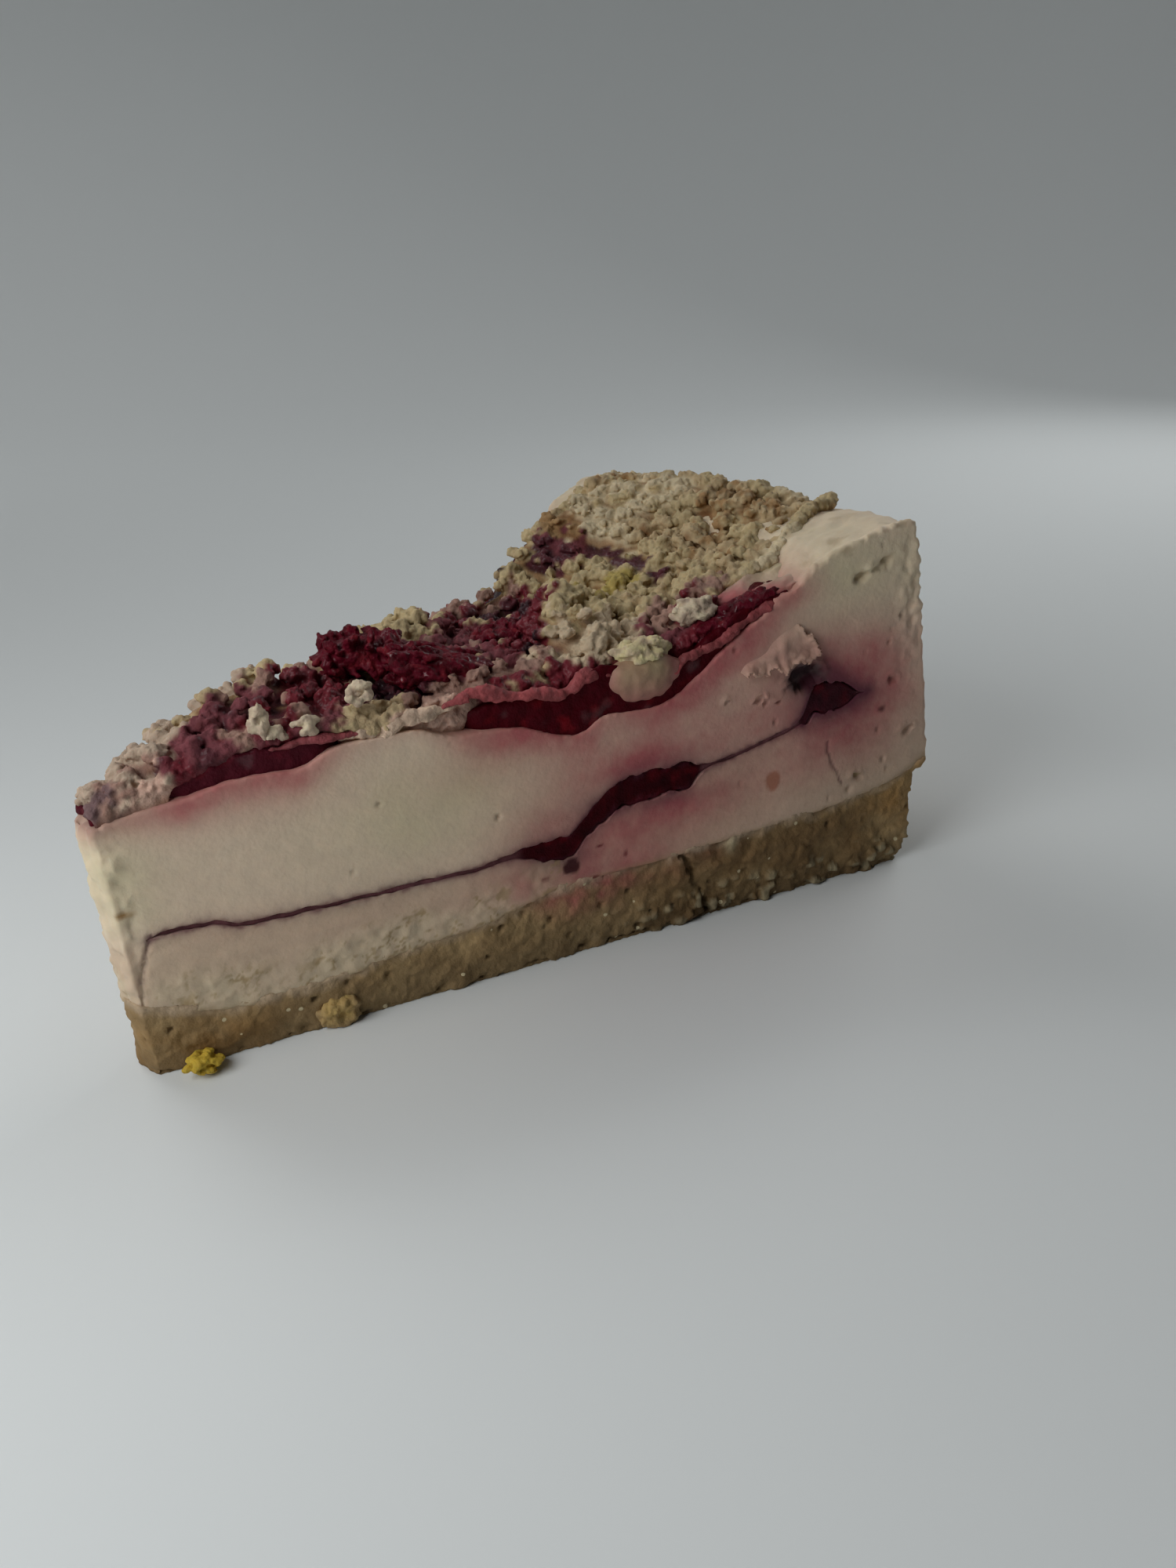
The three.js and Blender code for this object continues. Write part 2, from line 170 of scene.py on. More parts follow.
def mix(a: Array, b: Array, amount: Array) -> Array:
    """Colours on the way from a to b, with one amount for each row."""
    return lerp(a, b, amount[:, None])


def smooth(value: Array, low: float, high: float) -> Array:
    """Smooth step from 0 at low to 1 at high."""
    t = np.clip((value - low) / (high - low), 0, 1)
    return t * t * (3 - 2 * t)


class Noise:
    """Repeatable noise over points in millimetres."""

    def __init__(self, seed: int) -> None:
        """Fills the tables.

        Args:
            seed: Any whole number; the same one gives the same noise.
        """
        rng = np.random.default_rng(seed)
        self.table = np.tile(rng.permutation(256), 3)
        ways = rng.normal(size=(256, 3))
        self.ways = ways / np.linalg.norm(ways, axis=1, keepdims=True)
        self.jitter = rng.random((256, 3))

    def _key(self, cell: Array) -> Array:
        """Number from 0 to 255 of each grid cell."""
        x, y, z = (cell & 255).T
        return self.table[self.table[self.table[x] + y] + z]

    def soft(self, points: Array, grain: float, octaves: int = 1) -> Array:
        """Gradient noise.

        Args:
            points: Rows of x, y, z.
            grain: Size of its lumps.
            octaves: How many finer layers are added, each half as large and strong.

        Returns:
            Values from about -1 to 1.
        """
        value = np.zeros(len(points))
        for octave in range(octaves):
            p = points * (2**octave / grain) + 19.7 * octave
            cell = np.floor(p).astype(int)
            f = p - cell
            fade = f**3 * (f * (f * 6 - 15) + 10)
            for corner in product((0, 1), repeat=3):
                way = self.ways[self._key(cell + corner)]
                weight = np.prod(np.where(corner, fade, 1 - fade), axis=1)
                value += 1.5 * 0.5**octave * weight * np.einsum("ij,ij->i", way, f - corner)
        return value

    def cells(self, points: Array, grain: float) -> tuple:
        """Cell noise.

        Args:
            points: Rows of x, y, z.
            grain: Mean distance between the cells' centres.

        Returns:
            Distance to the nearest centre, how much farther the second one is (both in
            cells), and a number from 0 to 1 of the nearest cell.
        """
        p = points / grain
        base = np.floor(p).astype(int)
        first = np.full(len(p), 9.0)
        second = np.full(len(p), 9.0)
        key = np.zeros(len(p))
        for offset in product((-1, 0, 1), repeat=3):
            cell = base + offset
            number = self._key(cell)
            distance = np.linalg.norm(cell + self.jitter[number] - p, axis=1)
            nearer = distance < first
            second = np.where(nearer, first, np.minimum(second, distance))
            key = np.where(nearer, number / 255, key)
            first = np.where(nearer, distance, first)
        return first, second - first, key


@dataclass(frozen=True)
class Cake:
    """Levels of the layers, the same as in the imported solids."""

    crust: Curve = Curve((
        (9, 9.8), (15, 8.2), (20, 6.7), (30, 6.6), (44, 7.8), (52, 8.4), (59, 10), (66, 10.6), (80, 10.9), (95, 11.6),
        (110, 13), (115, 15), (118, 17)))
    jam_line: Curve = Curve((
        (12, 17.6), (15, 18.2), (20, 18), (22.5, 17), (26, 16.7), (36, 16.4), (50, 16.1), (56, 16.6), (60, 16.1),
        (63, 16), (65, 17.7), (67, 19.4), (69.5, 21.1), (72, 21.6), (78, 21.8), (80.5, 21.8), (82, 22.3), (85, 22.7),
        (90, 23.6), (95, 24.8), (97, 26), (98.5, 28), (101, 28), (106, 27.7)))
    jam_depth: Curve = Curve((
        (12, 0.6), (22, 0.6), (40, 0.55), (54, 0.7), (57, 1.5), (59, 2.6), (62, 3.1), (64.5, 3.2), (67, 3.3),
        (70, 3.8), (76, 3.6), (80, 3.4), (81.2, 1.8), (82.4, 0.7), (85, 0.55), (94, 0.55), (96.3, 1), (97.5, 3.2),
        (99, 4.3), (101, 3.8), (103, 3.2), (104.5, 2.2), (105.5, 1), (106.5, 0.4)))
    cream: Curve = Curve((
        (9, 32), (20, 34), (36, 34.6), (48, 34.2), (58, 33), (65, 30.6), (69, 32.4), (77, 32.4), (82, 34.7),
        (88, 38.6), (97, 43.9), (103, 47.2), (113, 49)))
    brim: Curve = Curve((
        (9, 0), (16, -0.2), (20, -0.7), (24, -0.2), (28, -0.3), (32, -0.8), (33.6, -0.4), (35.2, 0.6), (37, 1.2),
        (41, 1.4), (46, 1.5), (48, 0.5), (49.5, -0.1), (52, -0.3), (58, 0)))
    sauce: Curve = Curve((
        (9, 0.9), (16, 1.1), (20, 1.9), (27, 2.7), (33, 2.8), (38, 1.2), (47, 1), (54, 2.8), (61, 4.2), (66, 6.6),
        (71, 6), (78, 3.9), (86, 3.2), (95, 0.9), (101, 0)))
    crumb: Curve = Curve((
        (9, 1.6), (20, 2), (32, 3), (48, 3.4), (60, 3), (72, 3), (86, 2.2), (95, 2.2), (112, 1.4)))
    bulge: Curve = Curve((
        (0, -0.6), (5, 1.3), (11, 1.1), (15.5, 3.6), (19, 3.4), (32, 1.9), (46, 0), (50, -1.2)))
    crumb_near: Curve = Curve((
        (9, -0.9), (16, -0.96), (20, -0.9), (36, -0.9), (40, -0.93), (50, -0.9), (56, -0.87), (70, -0.88),
        (76, -0.86), (83, -0.9), (86, -0.82), (89, -0.68), (93, -0.7), (97, -0.73), (101, -0.66), (105, -0.6),
        (109, -0.52), (113, -0.5)))
    sauce_near: Curve = Curve((
        (9, -0.84), (17, -0.84), (20, -0.98), (35, -0.99), (39, -0.84), (50, -0.84), (54, -1), (95, -1)))
    mounds: tuple = (
        (71, -0.34, 9, 7, 5),
        (74, -0.08, 7, 4.5, 3.4),
        (58, 0.5, 6, 5, 2.2),
        (33, 0.1, 9, 5, 0.8),
        (66, 0.02, 4, 3.5, -1.8),
        (84, 0.85, 8, 5, 2),
        (90, 0.25, 3.2, 9, -1.7),
        (98, 0.8, 7, 9, 2.2),
        (107, 0.2, 5, 15, 1.4),
    )
    crumb_start: float = 10.8
    crumb_end: float = 114.2
    crumb_far: float = 0.95
    sauce_end: float = 95.0
    noise: Noise = Noise(5)

    def uneven(self, radius: Array, share: Array, grain: float, layer: float) -> Array:
        """Unevenness in plan, a different one for each layer number."""
        flat = place(radius, share, np.full(np.shape(radius), layer * 31.0))
        return self.noise.soft(flat.reshape(-1, 3) * (1, 1, 1 / grain), grain).reshape(np.shape(radius))

    def crust_top(self, radius: Array, share: Array) -> Array:
        """Level between crust and cheesecake."""
        return self.crust(radius) + (1.5 - share**2) * 0.6 * self.uneven(radius, share, 9, 1)

    def jam_middle(self, radius: Array, share: Array) -> Array:
        """Level of the seam's middle."""
        return self.jam_line(radius) + away(share) * 1.6 * self.uneven(radius, share, 24, 2)

    def jam_half(self, radius: Array, share: Array) -> Array:
        """Half the seam's depth."""
        depth = lerp(self.jam_depth(radius), 1.4, away(share) / 2)
        return np.maximum(0.45, depth + away(share) * self.uneven(radius, share, 14, 3)) / 2

    def cream_top(self, radius: Array, share: Array) -> Array:
        """Top of the cheesecake.

        Args:
            radius: Radii from the cake's axis.
            share: Shares of the half angle.

        Returns:
            The level at each place.
        """
        hollow = np.exp(-(((radius - 65) / 8) ** 2))
        edge = self.brim(radius) * np.exp(-(((share + 1) * radius * HALF_ANGLE / 2.5) ** 2))
        return self.cream(radius) + edge + 2 * away(share) * hollow + 0.6 * self.uneven(radius, share, 13, 4)

    def sauce_top(self, radius: Array, share: Array) -> Array:
        """Top of the sauce.

        Args:
            radius: Radii from the cake's axis.
            share: Shares of the half angle.

        Returns:
            The level at each place.
        """
        edge = self.sauce(radius)
        depth = lerp(edge, np.minimum(2.2, edge), np.minimum(1, 3 * away(share)))
        lying = radius < self.sauce_end
        ripple = np.where(lying, 0.3 * self.uneven(radius, share, 5, 5), 0)
        return self.cream_top(radius, share) + np.maximum(np.where(lying, 0.8, 0), depth + ripple)

    def heap_top(self, radius: Array, share: Array) -> Array:
        """Top of the crumb heap, which thins out towards its own edges.

        Args:
            radius: Radii from the cake's axis.
            share: Shares of the half angle.

        Returns:
            The level at each place.
        """
        side = np.minimum(share - self.crumb_near(radius), self.crumb_far - share) * radius * HALF_ANGLE
        end = np.minimum(radius - self.crumb_start, self.crumb_end - radius)
        rise = 0.0
        for r, s, along, across, height in self.mounds:
            aside = radius * (share - s) * HALF_ANGLE
            rise = rise + height * np.exp(-(((radius - r) / along) ** 2) - (aside / across) ** 2)
        rim = smooth(radius, 92, 98)
        depth = (self.crumb(radius) + rise) * smooth(np.minimum(side, end), -1.5, lerp(3, 7, rim))
        return self.sauce_top(radius, share) + np.maximum(lerp(0.6, 0.15, rim), depth)

    def foot(self, radius: Array, share: Array) -> Array:
        """Level that the near crumbs stand on, the cheesecake itself where the sauce stands back."""
        bare = smooth(self.sauce_near(radius), -0.95, -0.88)
        return lerp(self.sauce_top(radius, share), self.cream_top(radius, share), bare)

    def outer_radius(self, height: Array) -> Array:
        """Radius of the outer wall."""
        return TIN_RADIUS + self.bulge(height)

    def tip_radius(self, share: Array) -> Array:
        """Radius of the blunt tip."""
        return TIP_RADIUS - TIP_CROWN * (1 - share**2)


def place(radius: Array, share: Array, height: Array) -> Array:
    """Points at radii, shares of the half angle and heights, as rows of x, y, z."""
    angle = np.asarray(share) * HALF_ANGLE
    return np.stack([radius * np.cos(angle) - AXIS_BACK, radius * np.sin(angle), height + 0 * angle], axis=-1)


def polar(points: Array) -> tuple:
    """Radius, share of the half angle and height of each point."""
    x, y, z = points.T
    return np.hypot(x + AXIS_BACK, y), np.arctan2(y, x + AXIS_BACK) / HALF_ANGLE, z


def away(share: Array) -> Array:
    """Share of the way from the near cut face to the far one."""
    return (share + 1) / 2


CAKE = Cake()


def linear(red: int, green: int, blue: int) -> Array:
    """Linear colour of an sRGB one given from 0 to 255."""
    c = np.array([red, green, blue]) / 255
    return np.where(c <= 0.04045, c / 12.92, ((c + 0.055) / 1.055) ** 2.4)


class Palette:
    """Colours of the slice as linear rows, its own under white light except where a comment says that a colour carries
    painted light or shade.
    """

    CREAM = linear(226, 204, 179)
    CREAM_YELLOW = linear(222, 208, 174)
    CREAM_LOW = linear(214, 190, 164)
    PINK = linear(180, 92, 96)
    PURPLE = linear(98, 46, 60)
    JAM = linear(62, 5, 14)
    FLECK = linear(186, 124, 100)
    # Painted highlight: brighter red patches on the wet seam and sauce.
    SEAM_LINE = linear(106, 66, 70)
    JAM_HIGHLIGHT = linear(120, 18, 26)
    FRUIT = linear(92, 13, 30)
    # Painted highlight: lighter red glints on the fruit.
    FRUIT_GLOW = linear(134, 38, 44)
    ROSE = linear(154, 74, 76)
    MAUVE = linear(114, 58, 64)
    PLUM = linear(80, 32, 40)
    TAN = linear(183, 160, 124)
    STRAW = linear(187, 167, 128)
    OLIVE = linear(172, 152, 88)
    GREY_WHITE = linear(194, 173, 145)
    WHITE = linear(224, 206, 176)
    YELLOW_WHITE = linear(214, 200, 152)
    LUMP = linear(176, 155, 121)
    DUSK = linear(118, 92, 92)
    RUST = linear(156, 123, 84)
    CREAM_TOP = linear(206, 188, 155)
    PINK_CREAM = linear(202, 166, 148)
    ROSE_TAN = linear(156, 122, 108)
    GREY_TAN = linear(184, 162, 142)
    CRIMSON = linear(106, 24, 36)
    # Partly painted shade: dark crumbs put in the hollows of the heap, over crumbs stained with jam.
    BLACK = linear(42, 8, 18)
    CRUST = linear(164, 137, 97)
    CRUST_DARK = linear(118, 91, 58)
    CRUST_ORANGE = linear(162, 119, 64)
    BUTTER = linear(204, 172, 62)
    # Pale sugar, also the colour of the painted glints among the crust's specks.
    SUGAR_AND_GLINT = linear(214, 198, 160)
    FLOOR = linear(226, 229, 229)


def only(*pieces: Piece) -> None:
    """Selects these objects and no others, and makes the last one active.

    Args:
        pieces: The objects.
    """
    bpy.ops.object.select_all(action="DESELECT")
    for piece in pieces:
        piece.select_set(True)
    bpy.context.view_layer.objects.active = pieces[-1]


def points_of(piece: Piece) -> Array:
    """Points of a mesh in millimetres.

    Args:
        piece: The mesh.

    Returns:
        Rows of x, y, z.
    """
    co = np.empty(len(piece.data.vertices) * 3, np.float32)
    piece.data.vertices.foreach_get("co", co)
    return co.reshape(-1, 3).astype(float) / MM


def set_points(piece: Piece, points: Array) -> None:
    """Moves the points of a mesh to places in millimetres."""
    piece.data.vertices.foreach_set("co", (points * MM).astype(np.float32).ravel())
    piece.data.update()


def normals_of(piece: Piece) -> Array:
    """Directions out of a mesh at its points.

    Args:
        piece: The mesh.

    Returns:
        Rows of directions.
    """
    out = np.empty(len(piece.data.vertices) * 3, np.float32)
    piece.data.vertices.foreach_get("normal", out)
    return out.reshape(-1, 3).astype(float)


def modify(piece: Piece, kind: str, **settings: object) -> None:
    """Adds a modifier with these settings and applies it.

    Args:
        piece: The mesh.
        kind: Blender's name of its kind.
        settings: Values of its settings.
    """
    only(piece)
    modifier = piece.modifiers.new(kind.lower(), kind)
    for key, value in settings.items():
        setattr(modifier, key, value)
    bpy.ops.object.modifier_apply(modifier=modifier.name)


def even(piece: Piece, size: float) -> None:
    """Gives a piece an even mesh of this size in millimetres."""
    modify(piece, "REMESH", mode="VOXEL", voxel_size=size * COARSE * MM, use_smooth_shade=True)


def new_mesh(name: str, points: Array, faces: Array) -> Piece:
    """Mesh object of points in millimetres and triangles.

    Args:
        name: Name of the new object.
        points: Rows of x, y, z.
        faces: Rows of three point numbers.

    Returns:
        The new object.
    """
    mesh = bpy.data.meshes.new(name)
    mesh.vertices.add(len(points))
    mesh.vertices.foreach_set("co", (points * MM).astype(np.float32).ravel())
    mesh.loops.add(faces.size)
    mesh.loops.foreach_set("vertex_index", faces.astype(np.int32).ravel())
    mesh.polygons.add(len(faces))
    mesh.polygons.foreach_set("loop_start", np.arange(0, faces.size, 3, dtype=np.int32))
    mesh.update(calc_edges=True)
    piece = bpy.data.objects.new(name, mesh)
    bpy.context.scene.collection.objects.link(piece)
    return piece


def paint(piece: Piece, tint: Array, wet: Array) -> None:
    """Stores the colour and the wetness of each point.

    Args:
        piece: The finished mesh.
        tint: Rows of linear red, green and blue.
        wet: Wetness from 0 to 1, one number or one for each point.
    """
    count = len(piece.data.vertices)
    colour = piece.data.attributes.new("tint", "FLOAT_COLOR", "POINT")
    rows = np.ones((count, 4), np.float32)
    rows[:, :3] = np.clip(tint, 0, 1)
    colour.data.foreach_set("color", rows.ravel())
    water = piece.data.attributes.new("wet", "FLOAT", "POINT")
    water.data.foreach_set("value", np.broadcast_to(wet, count).astype(np.float32).copy())


def swept(name: str, steps: tuple, shape: object) -> Piece:
    """Closed body between the two cut faces, spun about the cake's axis.

    Args:
        name: Name of the new object.
        steps: Numbers of faces along the radius, up and across.
        shape: Function of the shares along (0 to 1), across (-1 to 1) and up (0 to 1)
            that gives the points in millimetres.

    Returns:
        The new object.
    """
    along, up, across = steps
    bpy.ops.object.select_all(action="DESELECT")
    bpy.ops.mesh.primitive_grid_add(x_subdivisions=along, y_subdivisions=up, size=1, rotation=(math.pi / 2, 0, 0))
    piece = bpy.context.object
    piece.name = name
    bpy.ops.object.transform_apply(rotation=True)
    bpy.ops.object.mode_set(mode="EDIT")
    bpy.ops.mesh.select_all(action="SELECT")
    bpy.ops.transform.translate(value=(1, 0, 0.5))
    bpy.ops.transform.rotate(value=HALF_ANGLE, orient_axis="Z", center_override=(0, 0, 0))
    bpy.ops.mesh.spin(steps=across, angle=2 * HALF_ANGLE, center=(0, 0, 0), axis=(0, 0, 1))
    bpy.ops.mesh.select_all(action="SELECT")
    bpy.ops.mesh.normals_make_consistent(inside=False)
    bpy.ops.object.mode_set(mode="OBJECT")
    p = points_of(piece) * MM
    angle = np.arctan2(p[:, 1], p[:, 0])
    turned = 2 * (angle - angle.min()) / (angle.max() - angle.min()) - 1
    set_points(piece, shape(np.clip(np.hypot(p[:, 0], p[:, 1]) - 0.5, 0, 1), turned, np.clip(p[:, 2], 0, 1)))
    return piece


def unit_ball(detail: int) -> tuple:
    """Round mesh of radius 1.

    Args:
        detail: How finely it is divided.

    Returns:
        Rows of points and rows of point numbers.
    """
    bpy.ops.object.select_all(action="DESELECT")
    bpy.ops.mesh.primitive_ico_sphere_add(subdivisions=detail, radius=1)
    pattern = bpy.context.object
    unit = points_of(pattern) * MM
    faces = np.array([poly.vertices[:] for poly in pattern.data.polygons])
    bpy.data.objects.remove(pattern)
    return unit, faces


def lumps(name: str, rng: np.random.Generator, centres: Array, sizes: Array, dents: float = 0.12,
          detail: int = 2, turned: bool = True) -> Piece:
    """Many dented ellipsoids as one mesh, to be grown together.

    Args:
        name: Name of the new object.
        rng: Source of chance.
        centres: Rows of x, y, z.
        sizes: Rows of three half sizes.
        dents: How uneven each one is.
        detail: How finely each one is divided.
        turned: Whether each one is turned its own way.

    Returns:
        The new object.
    """
    unit, faces = unit_ball(detail)
    count = len(centres)
    local = unit[None] * (1 + dents * rng.normal(size=(count, len(unit), 1))) * sizes[:, None, :]
    if turned:
        local = np.einsum("nij,nkj->nki", np.linalg.qr(rng.normal(size=(count, 3, 3)))[0], local)
    all_faces = faces[None] + (np.arange(count) * len(unit))[:, None, None]
    return new_mesh(name, (local + centres[:, None, :]).reshape(-1, 3), all_faces.reshape(-1, 3))


def joined(name: str, *pieces: Piece) -> Piece:
    """Joins pieces into one object.

    Args:
        name: Name of the new object.
        pieces: The objects.

    Returns:
        The one object.
    """
    only(*pieces)
    bpy.ops.object.join()
    piece = bpy.context.object
    piece.name = name
    return piece


def push(piece: Piece, move: Array, floor: float = -math.inf) -> None:
    """Moves each point of the surface out by its own distance.

    Args:
        piece: The mesh.
        move: Distances in millimetres, one for each point.
        floor: Height that no point sinks below.
    """
    p = points_of(piece) + normals_of(piece) * move[:, None]
    p[:, 2] = np.maximum(p[:, 2], floor)
    set_points(piece, p)


def roughen(piece: Piece, noise: Noise, amount: float, grain: float, octaves: int = 2) -> None:
    """Moves the surface in and out by fine noise."""
    push(piece, amount * noise.soft(points_of(piece), grain, octaves))


def blended(piece: Piece, colours: Array, rounds: int) -> Array:
    """Colours evened out between neighbouring points.

    Args:
        piece: Mesh that the colours belong to.
        colours: Rows of linear colours, one for each point.
        rounds: How often each point takes the mean of itself and its neighbours.

    Returns:
        The new rows.
    """
    ends = np.empty(len(piece.data.edges) * 2, np.int32)
    piece.data.edges.foreach_get("vertices", ends)
    a, b = ends.reshape(-1, 2).T
    count = len(colours)
    number = 1 + np.bincount(a, minlength=count) + np.bincount(b, minlength=count)
    for _ in range(rounds):
        taken = [c + np.bincount(a, c[b], count) + np.bincount(b, c[a], count) for c in colours.T]
        colours = np.stack(taken, axis=1) / number[:, None]
    return colours


def finish_piece(piece: Piece, material: bpy.types.Material, slot: Slot, *nodes: str) -> None:
    """Gives a piece its material and its place on the slice, in place of CAD nodes.

    Args:
        piece: The mesh.
        material: Its material.
        slot: Not used.
        nodes: CAD nodes that it replaces.
    """
    piece.data.materials.clear()
    piece.data.materials.append(material)
    piece.data.shade_smooth()
    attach(piece, "root")
    if nodes:
        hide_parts(*nodes)
    log.info("%s: %d faces", piece.name, len(piece.data.polygons))


def add_node(tree: bpy.types.NodeTree, kind: str, **settings: object) -> bpy.types.Node:
    """Adds a node to a tree.

    Args:
        tree: The tree.
        kind: Blender's name of the node.
        settings: Values of the node's own settings.

    Returns:
        The new node.
    """
    node = tree.nodes.new(kind)
    for key, value in settings.items():
        setattr(node, key, value)
    return node


def feed(tree: bpy.types.NodeTree, node: bpy.types.Node, inputs: dict) -> None:
    """Sets the inputs of a node to values, or links them to outputs of other nodes.

    Args:
        tree: The tree of the node.
        node: The node.
        inputs: A value or an output for each input.
    """
    for key, value in inputs.items():
        if isinstance(value, bpy.types.NodeSocket):
            tree.links.new(value, node.inputs[key])
        else:
            node.inputs[key].default_value = value


@dataclass(frozen=True)
class Finish:
    """Surface of a food, over its painted tint."""

    name: str
    roughness: float
    mottle: float
    grain: float
    bump: float
    speck: float = 0.0
    speck_colour: tuple = (0.2, 0.12, 0.05)
    soft: float = 0.0
    soft_radius: tuple = (1.0, 0.6, 0.4)
    coat: float = 0.0
    shine: float = 0.25

    def material(self, groups: "Groups") -> bpy.types.Material:
        """Makes the material.

        Args:
            groups: The shared node groups.

        Returns:
            A material that reads the painted tint and wetness.
        """
        material = bpy.data.materials.new(self.name)
        material.use_nodes = True
        tree = material.node_tree
        tint = add_node(tree, "ShaderNodeAttribute", attribute_name="tint")
        water = add_node(tree, "ShaderNodeAttribute", attribute_name="wet")
        food = add_node(tree, "ShaderNodeGroup", node_tree=groups.food)
        feed(tree, food, {
            "Tint": tint.outputs["Color"], "Wet": water.outputs["Fac"], "Mottle": self.mottle, "Grain": self.grain,
            "Speck": self.speck, "Speck Colour": (*self.speck_colour, 1), "Roughness": self.roughness,
            "Bump": self.bump, "Coat": self.coat})
        shader = tree.nodes["Principled BSDF"]
        feed(tree, shader, {
            "Base Color": food.outputs["Colour"], "Roughness": food.outputs["Roughness"],
            "Normal": food.outputs["Normal"], "Coat Weight": food.outputs["Coat"], "Coat Roughness": 0.15,
            "Specular IOR Level": self.shine})
        if self.soft:
            feed(tree, shader, {"Subsurface Weight": self.soft, "Subsurface Radius": self.soft_radius,
                                "Subsurface Scale": MM})
        return material


class Groups:
    """Node groups that the finishes share."""

    sockets = (
        ("INPUT", "NodeSocketColor", ("Tint", "Speck Colour")),
        ("INPUT", "NodeSocketFloat", ("Wet", "Mottle", "Grain", "Speck", "Roughness", "Bump", "Coat")),
        ("OUTPUT", "NodeSocketColor", ("Colour",)),
        ("OUTPUT", "NodeSocketFloat", ("Roughness", "Coat")),
        ("OUTPUT", "NodeSocketVector", ("Normal",)),
    )

    def __init__(self) -> None:
        """Makes the groups."""
        self.food = self._food()

    def _food(self) -> bpy.types.NodeTree:
        """Mottles and specks a tint, wets the surface and roughens it.

        Returns:
            The tree.
        """
        tree = bpy.data.node_groups.new("Food surface", "ShaderNodeTree")
        for way, kind, names in self.sockets:
            for name in names:
                tree.interface.new_socket(name, in_out=way, socket_type=kind)
        given = add_node(tree, "NodeGroupInput").outputs
        where = add_node(tree, "ShaderNodeTexCoord").outputs["Object"]

        def maths(kind: str, a: object, b: object) -> bpy.types.NodeSocket:
            """Output of a maths node, whose inputs are numbers or outputs.

            Args:
                kind: Blender's name of its kind.
                a: First input.
                b: Second input.

            Returns:
                The output.
            """
            node = add_node(tree, "ShaderNodeMath", operation=kind)
            feed(tree, node, {0: a, 1: b})
            return node.outputs[0]

        def noise(scale: bpy.types.NodeSocket, detail: float) -> bpy.types.NodeSocket:
            """Output of a noise texture on the object's own coordinates.

            Args:
                scale: How many lumps to a metre.
                detail: How many finer layers are added.

            Returns:
                The output.
            """
            node = add_node(tree, "ShaderNodeTexNoise")
            feed(tree, node, {"Vector": where, "Scale": scale, "Detail": detail})
            return node.outputs[0]

        per_metre = maths("DIVIDE", 1000.0, given["Grain"])
        shift = maths("SUBTRACT", noise(per_metre, 4), 0.5)
        factor = maths("ADD", 1.0, maths("MULTIPLY", shift, maths("MULTIPLY", given["Mottle"], 4.0)))
        shaded = add_node(tree, "ShaderNodeVectorMath", operation="SCALE")
        feed(tree, shaded, {0: given["Tint"], "Scale": factor})

        dots = add_node(tree, "ShaderNodeTexVoronoi")
        feed(tree, dots, {"Vector": where, "Scale": maths("MULTIPLY", per_metre, 0.8)})
        near = maths("LESS_THAN", dots.outputs["Distance"], 0.22)
        chosen = add_node(tree, "ShaderNodeSeparateColor")
        feed(tree, chosen, {0: dots.outputs["Color"]})
        few = maths("LESS_THAN", chosen.outputs[0], given["Speck"])
        speck = add_node(tree, "ShaderNodeMix", data_type="RGBA")
        tree.links.new(maths("MULTIPLY", near, few), speck.inputs["Factor"])
        tree.links.new(shaded.outputs[0], speck.inputs["A"])
        tree.links.new(given["Speck Colour"], speck.inputs["B"])

        dry = maths("ADD", given["Roughness"], maths("MULTIPLY", shift, 0.3))
        wetter = maths("SUBTRACT", 1.0, maths("MULTIPLY", given["Wet"], 0.4))
        bump = add_node(tree, "ShaderNodeBump")
        feed(tree, bump, {"Strength": 1, "Distance": maths("MULTIPLY", given["Bump"], MM),
                          "Height": noise(maths("MULTIPLY", per_metre, 2.2), 3)})
        feed(tree, add_node(tree, "NodeGroupOutput"), {
            "Colour": speck.outputs["Result"], "Roughness": maths("MULTIPLY", dry, wetter),
            "Coat": maths("MULTIPLY", given["Wet"], given["Coat"]), "Normal": bump.outputs[0]})
        return tree


@dataclass
class Finishes:
    """Every material of the slice."""

    groups: Groups = field(default_factory=Groups)

    def __post_init__(self) -> None:
        """Makes the materials."""
        g = self.groups
        self.cream = Finish("cream", 0.6, mottle=0.035, grain=1.3, bump=0.07, soft=0.2).material(g)
        # The crust's pale specks are sugar grains with painted glints.
        self.crust = Finish("crust", 0.8, mottle=0.07, grain=1.1, bump=0.16, speck=0.07,
                            speck_colour=tuple(Palette.SUGAR_AND_GLINT)).material(g)
        self.crumb = Finish("crumb", 0.8, mottle=0.06, grain=0.6, bump=0.14, soft=0.15,
                            soft_radius=(0.7, 0.4, 0.3), coat=0.5).material(g)
        self.jam = Finish("jam", 0.5, mottle=0.15, grain=1.4, bump=0.2, coat=0.5, shine=0.05).material(g)
        self.fruit = Finish("fruit", 0.5, mottle=0.15, grain=0.9, bump=0.2, coat=0.6, shine=0.12).material(g)


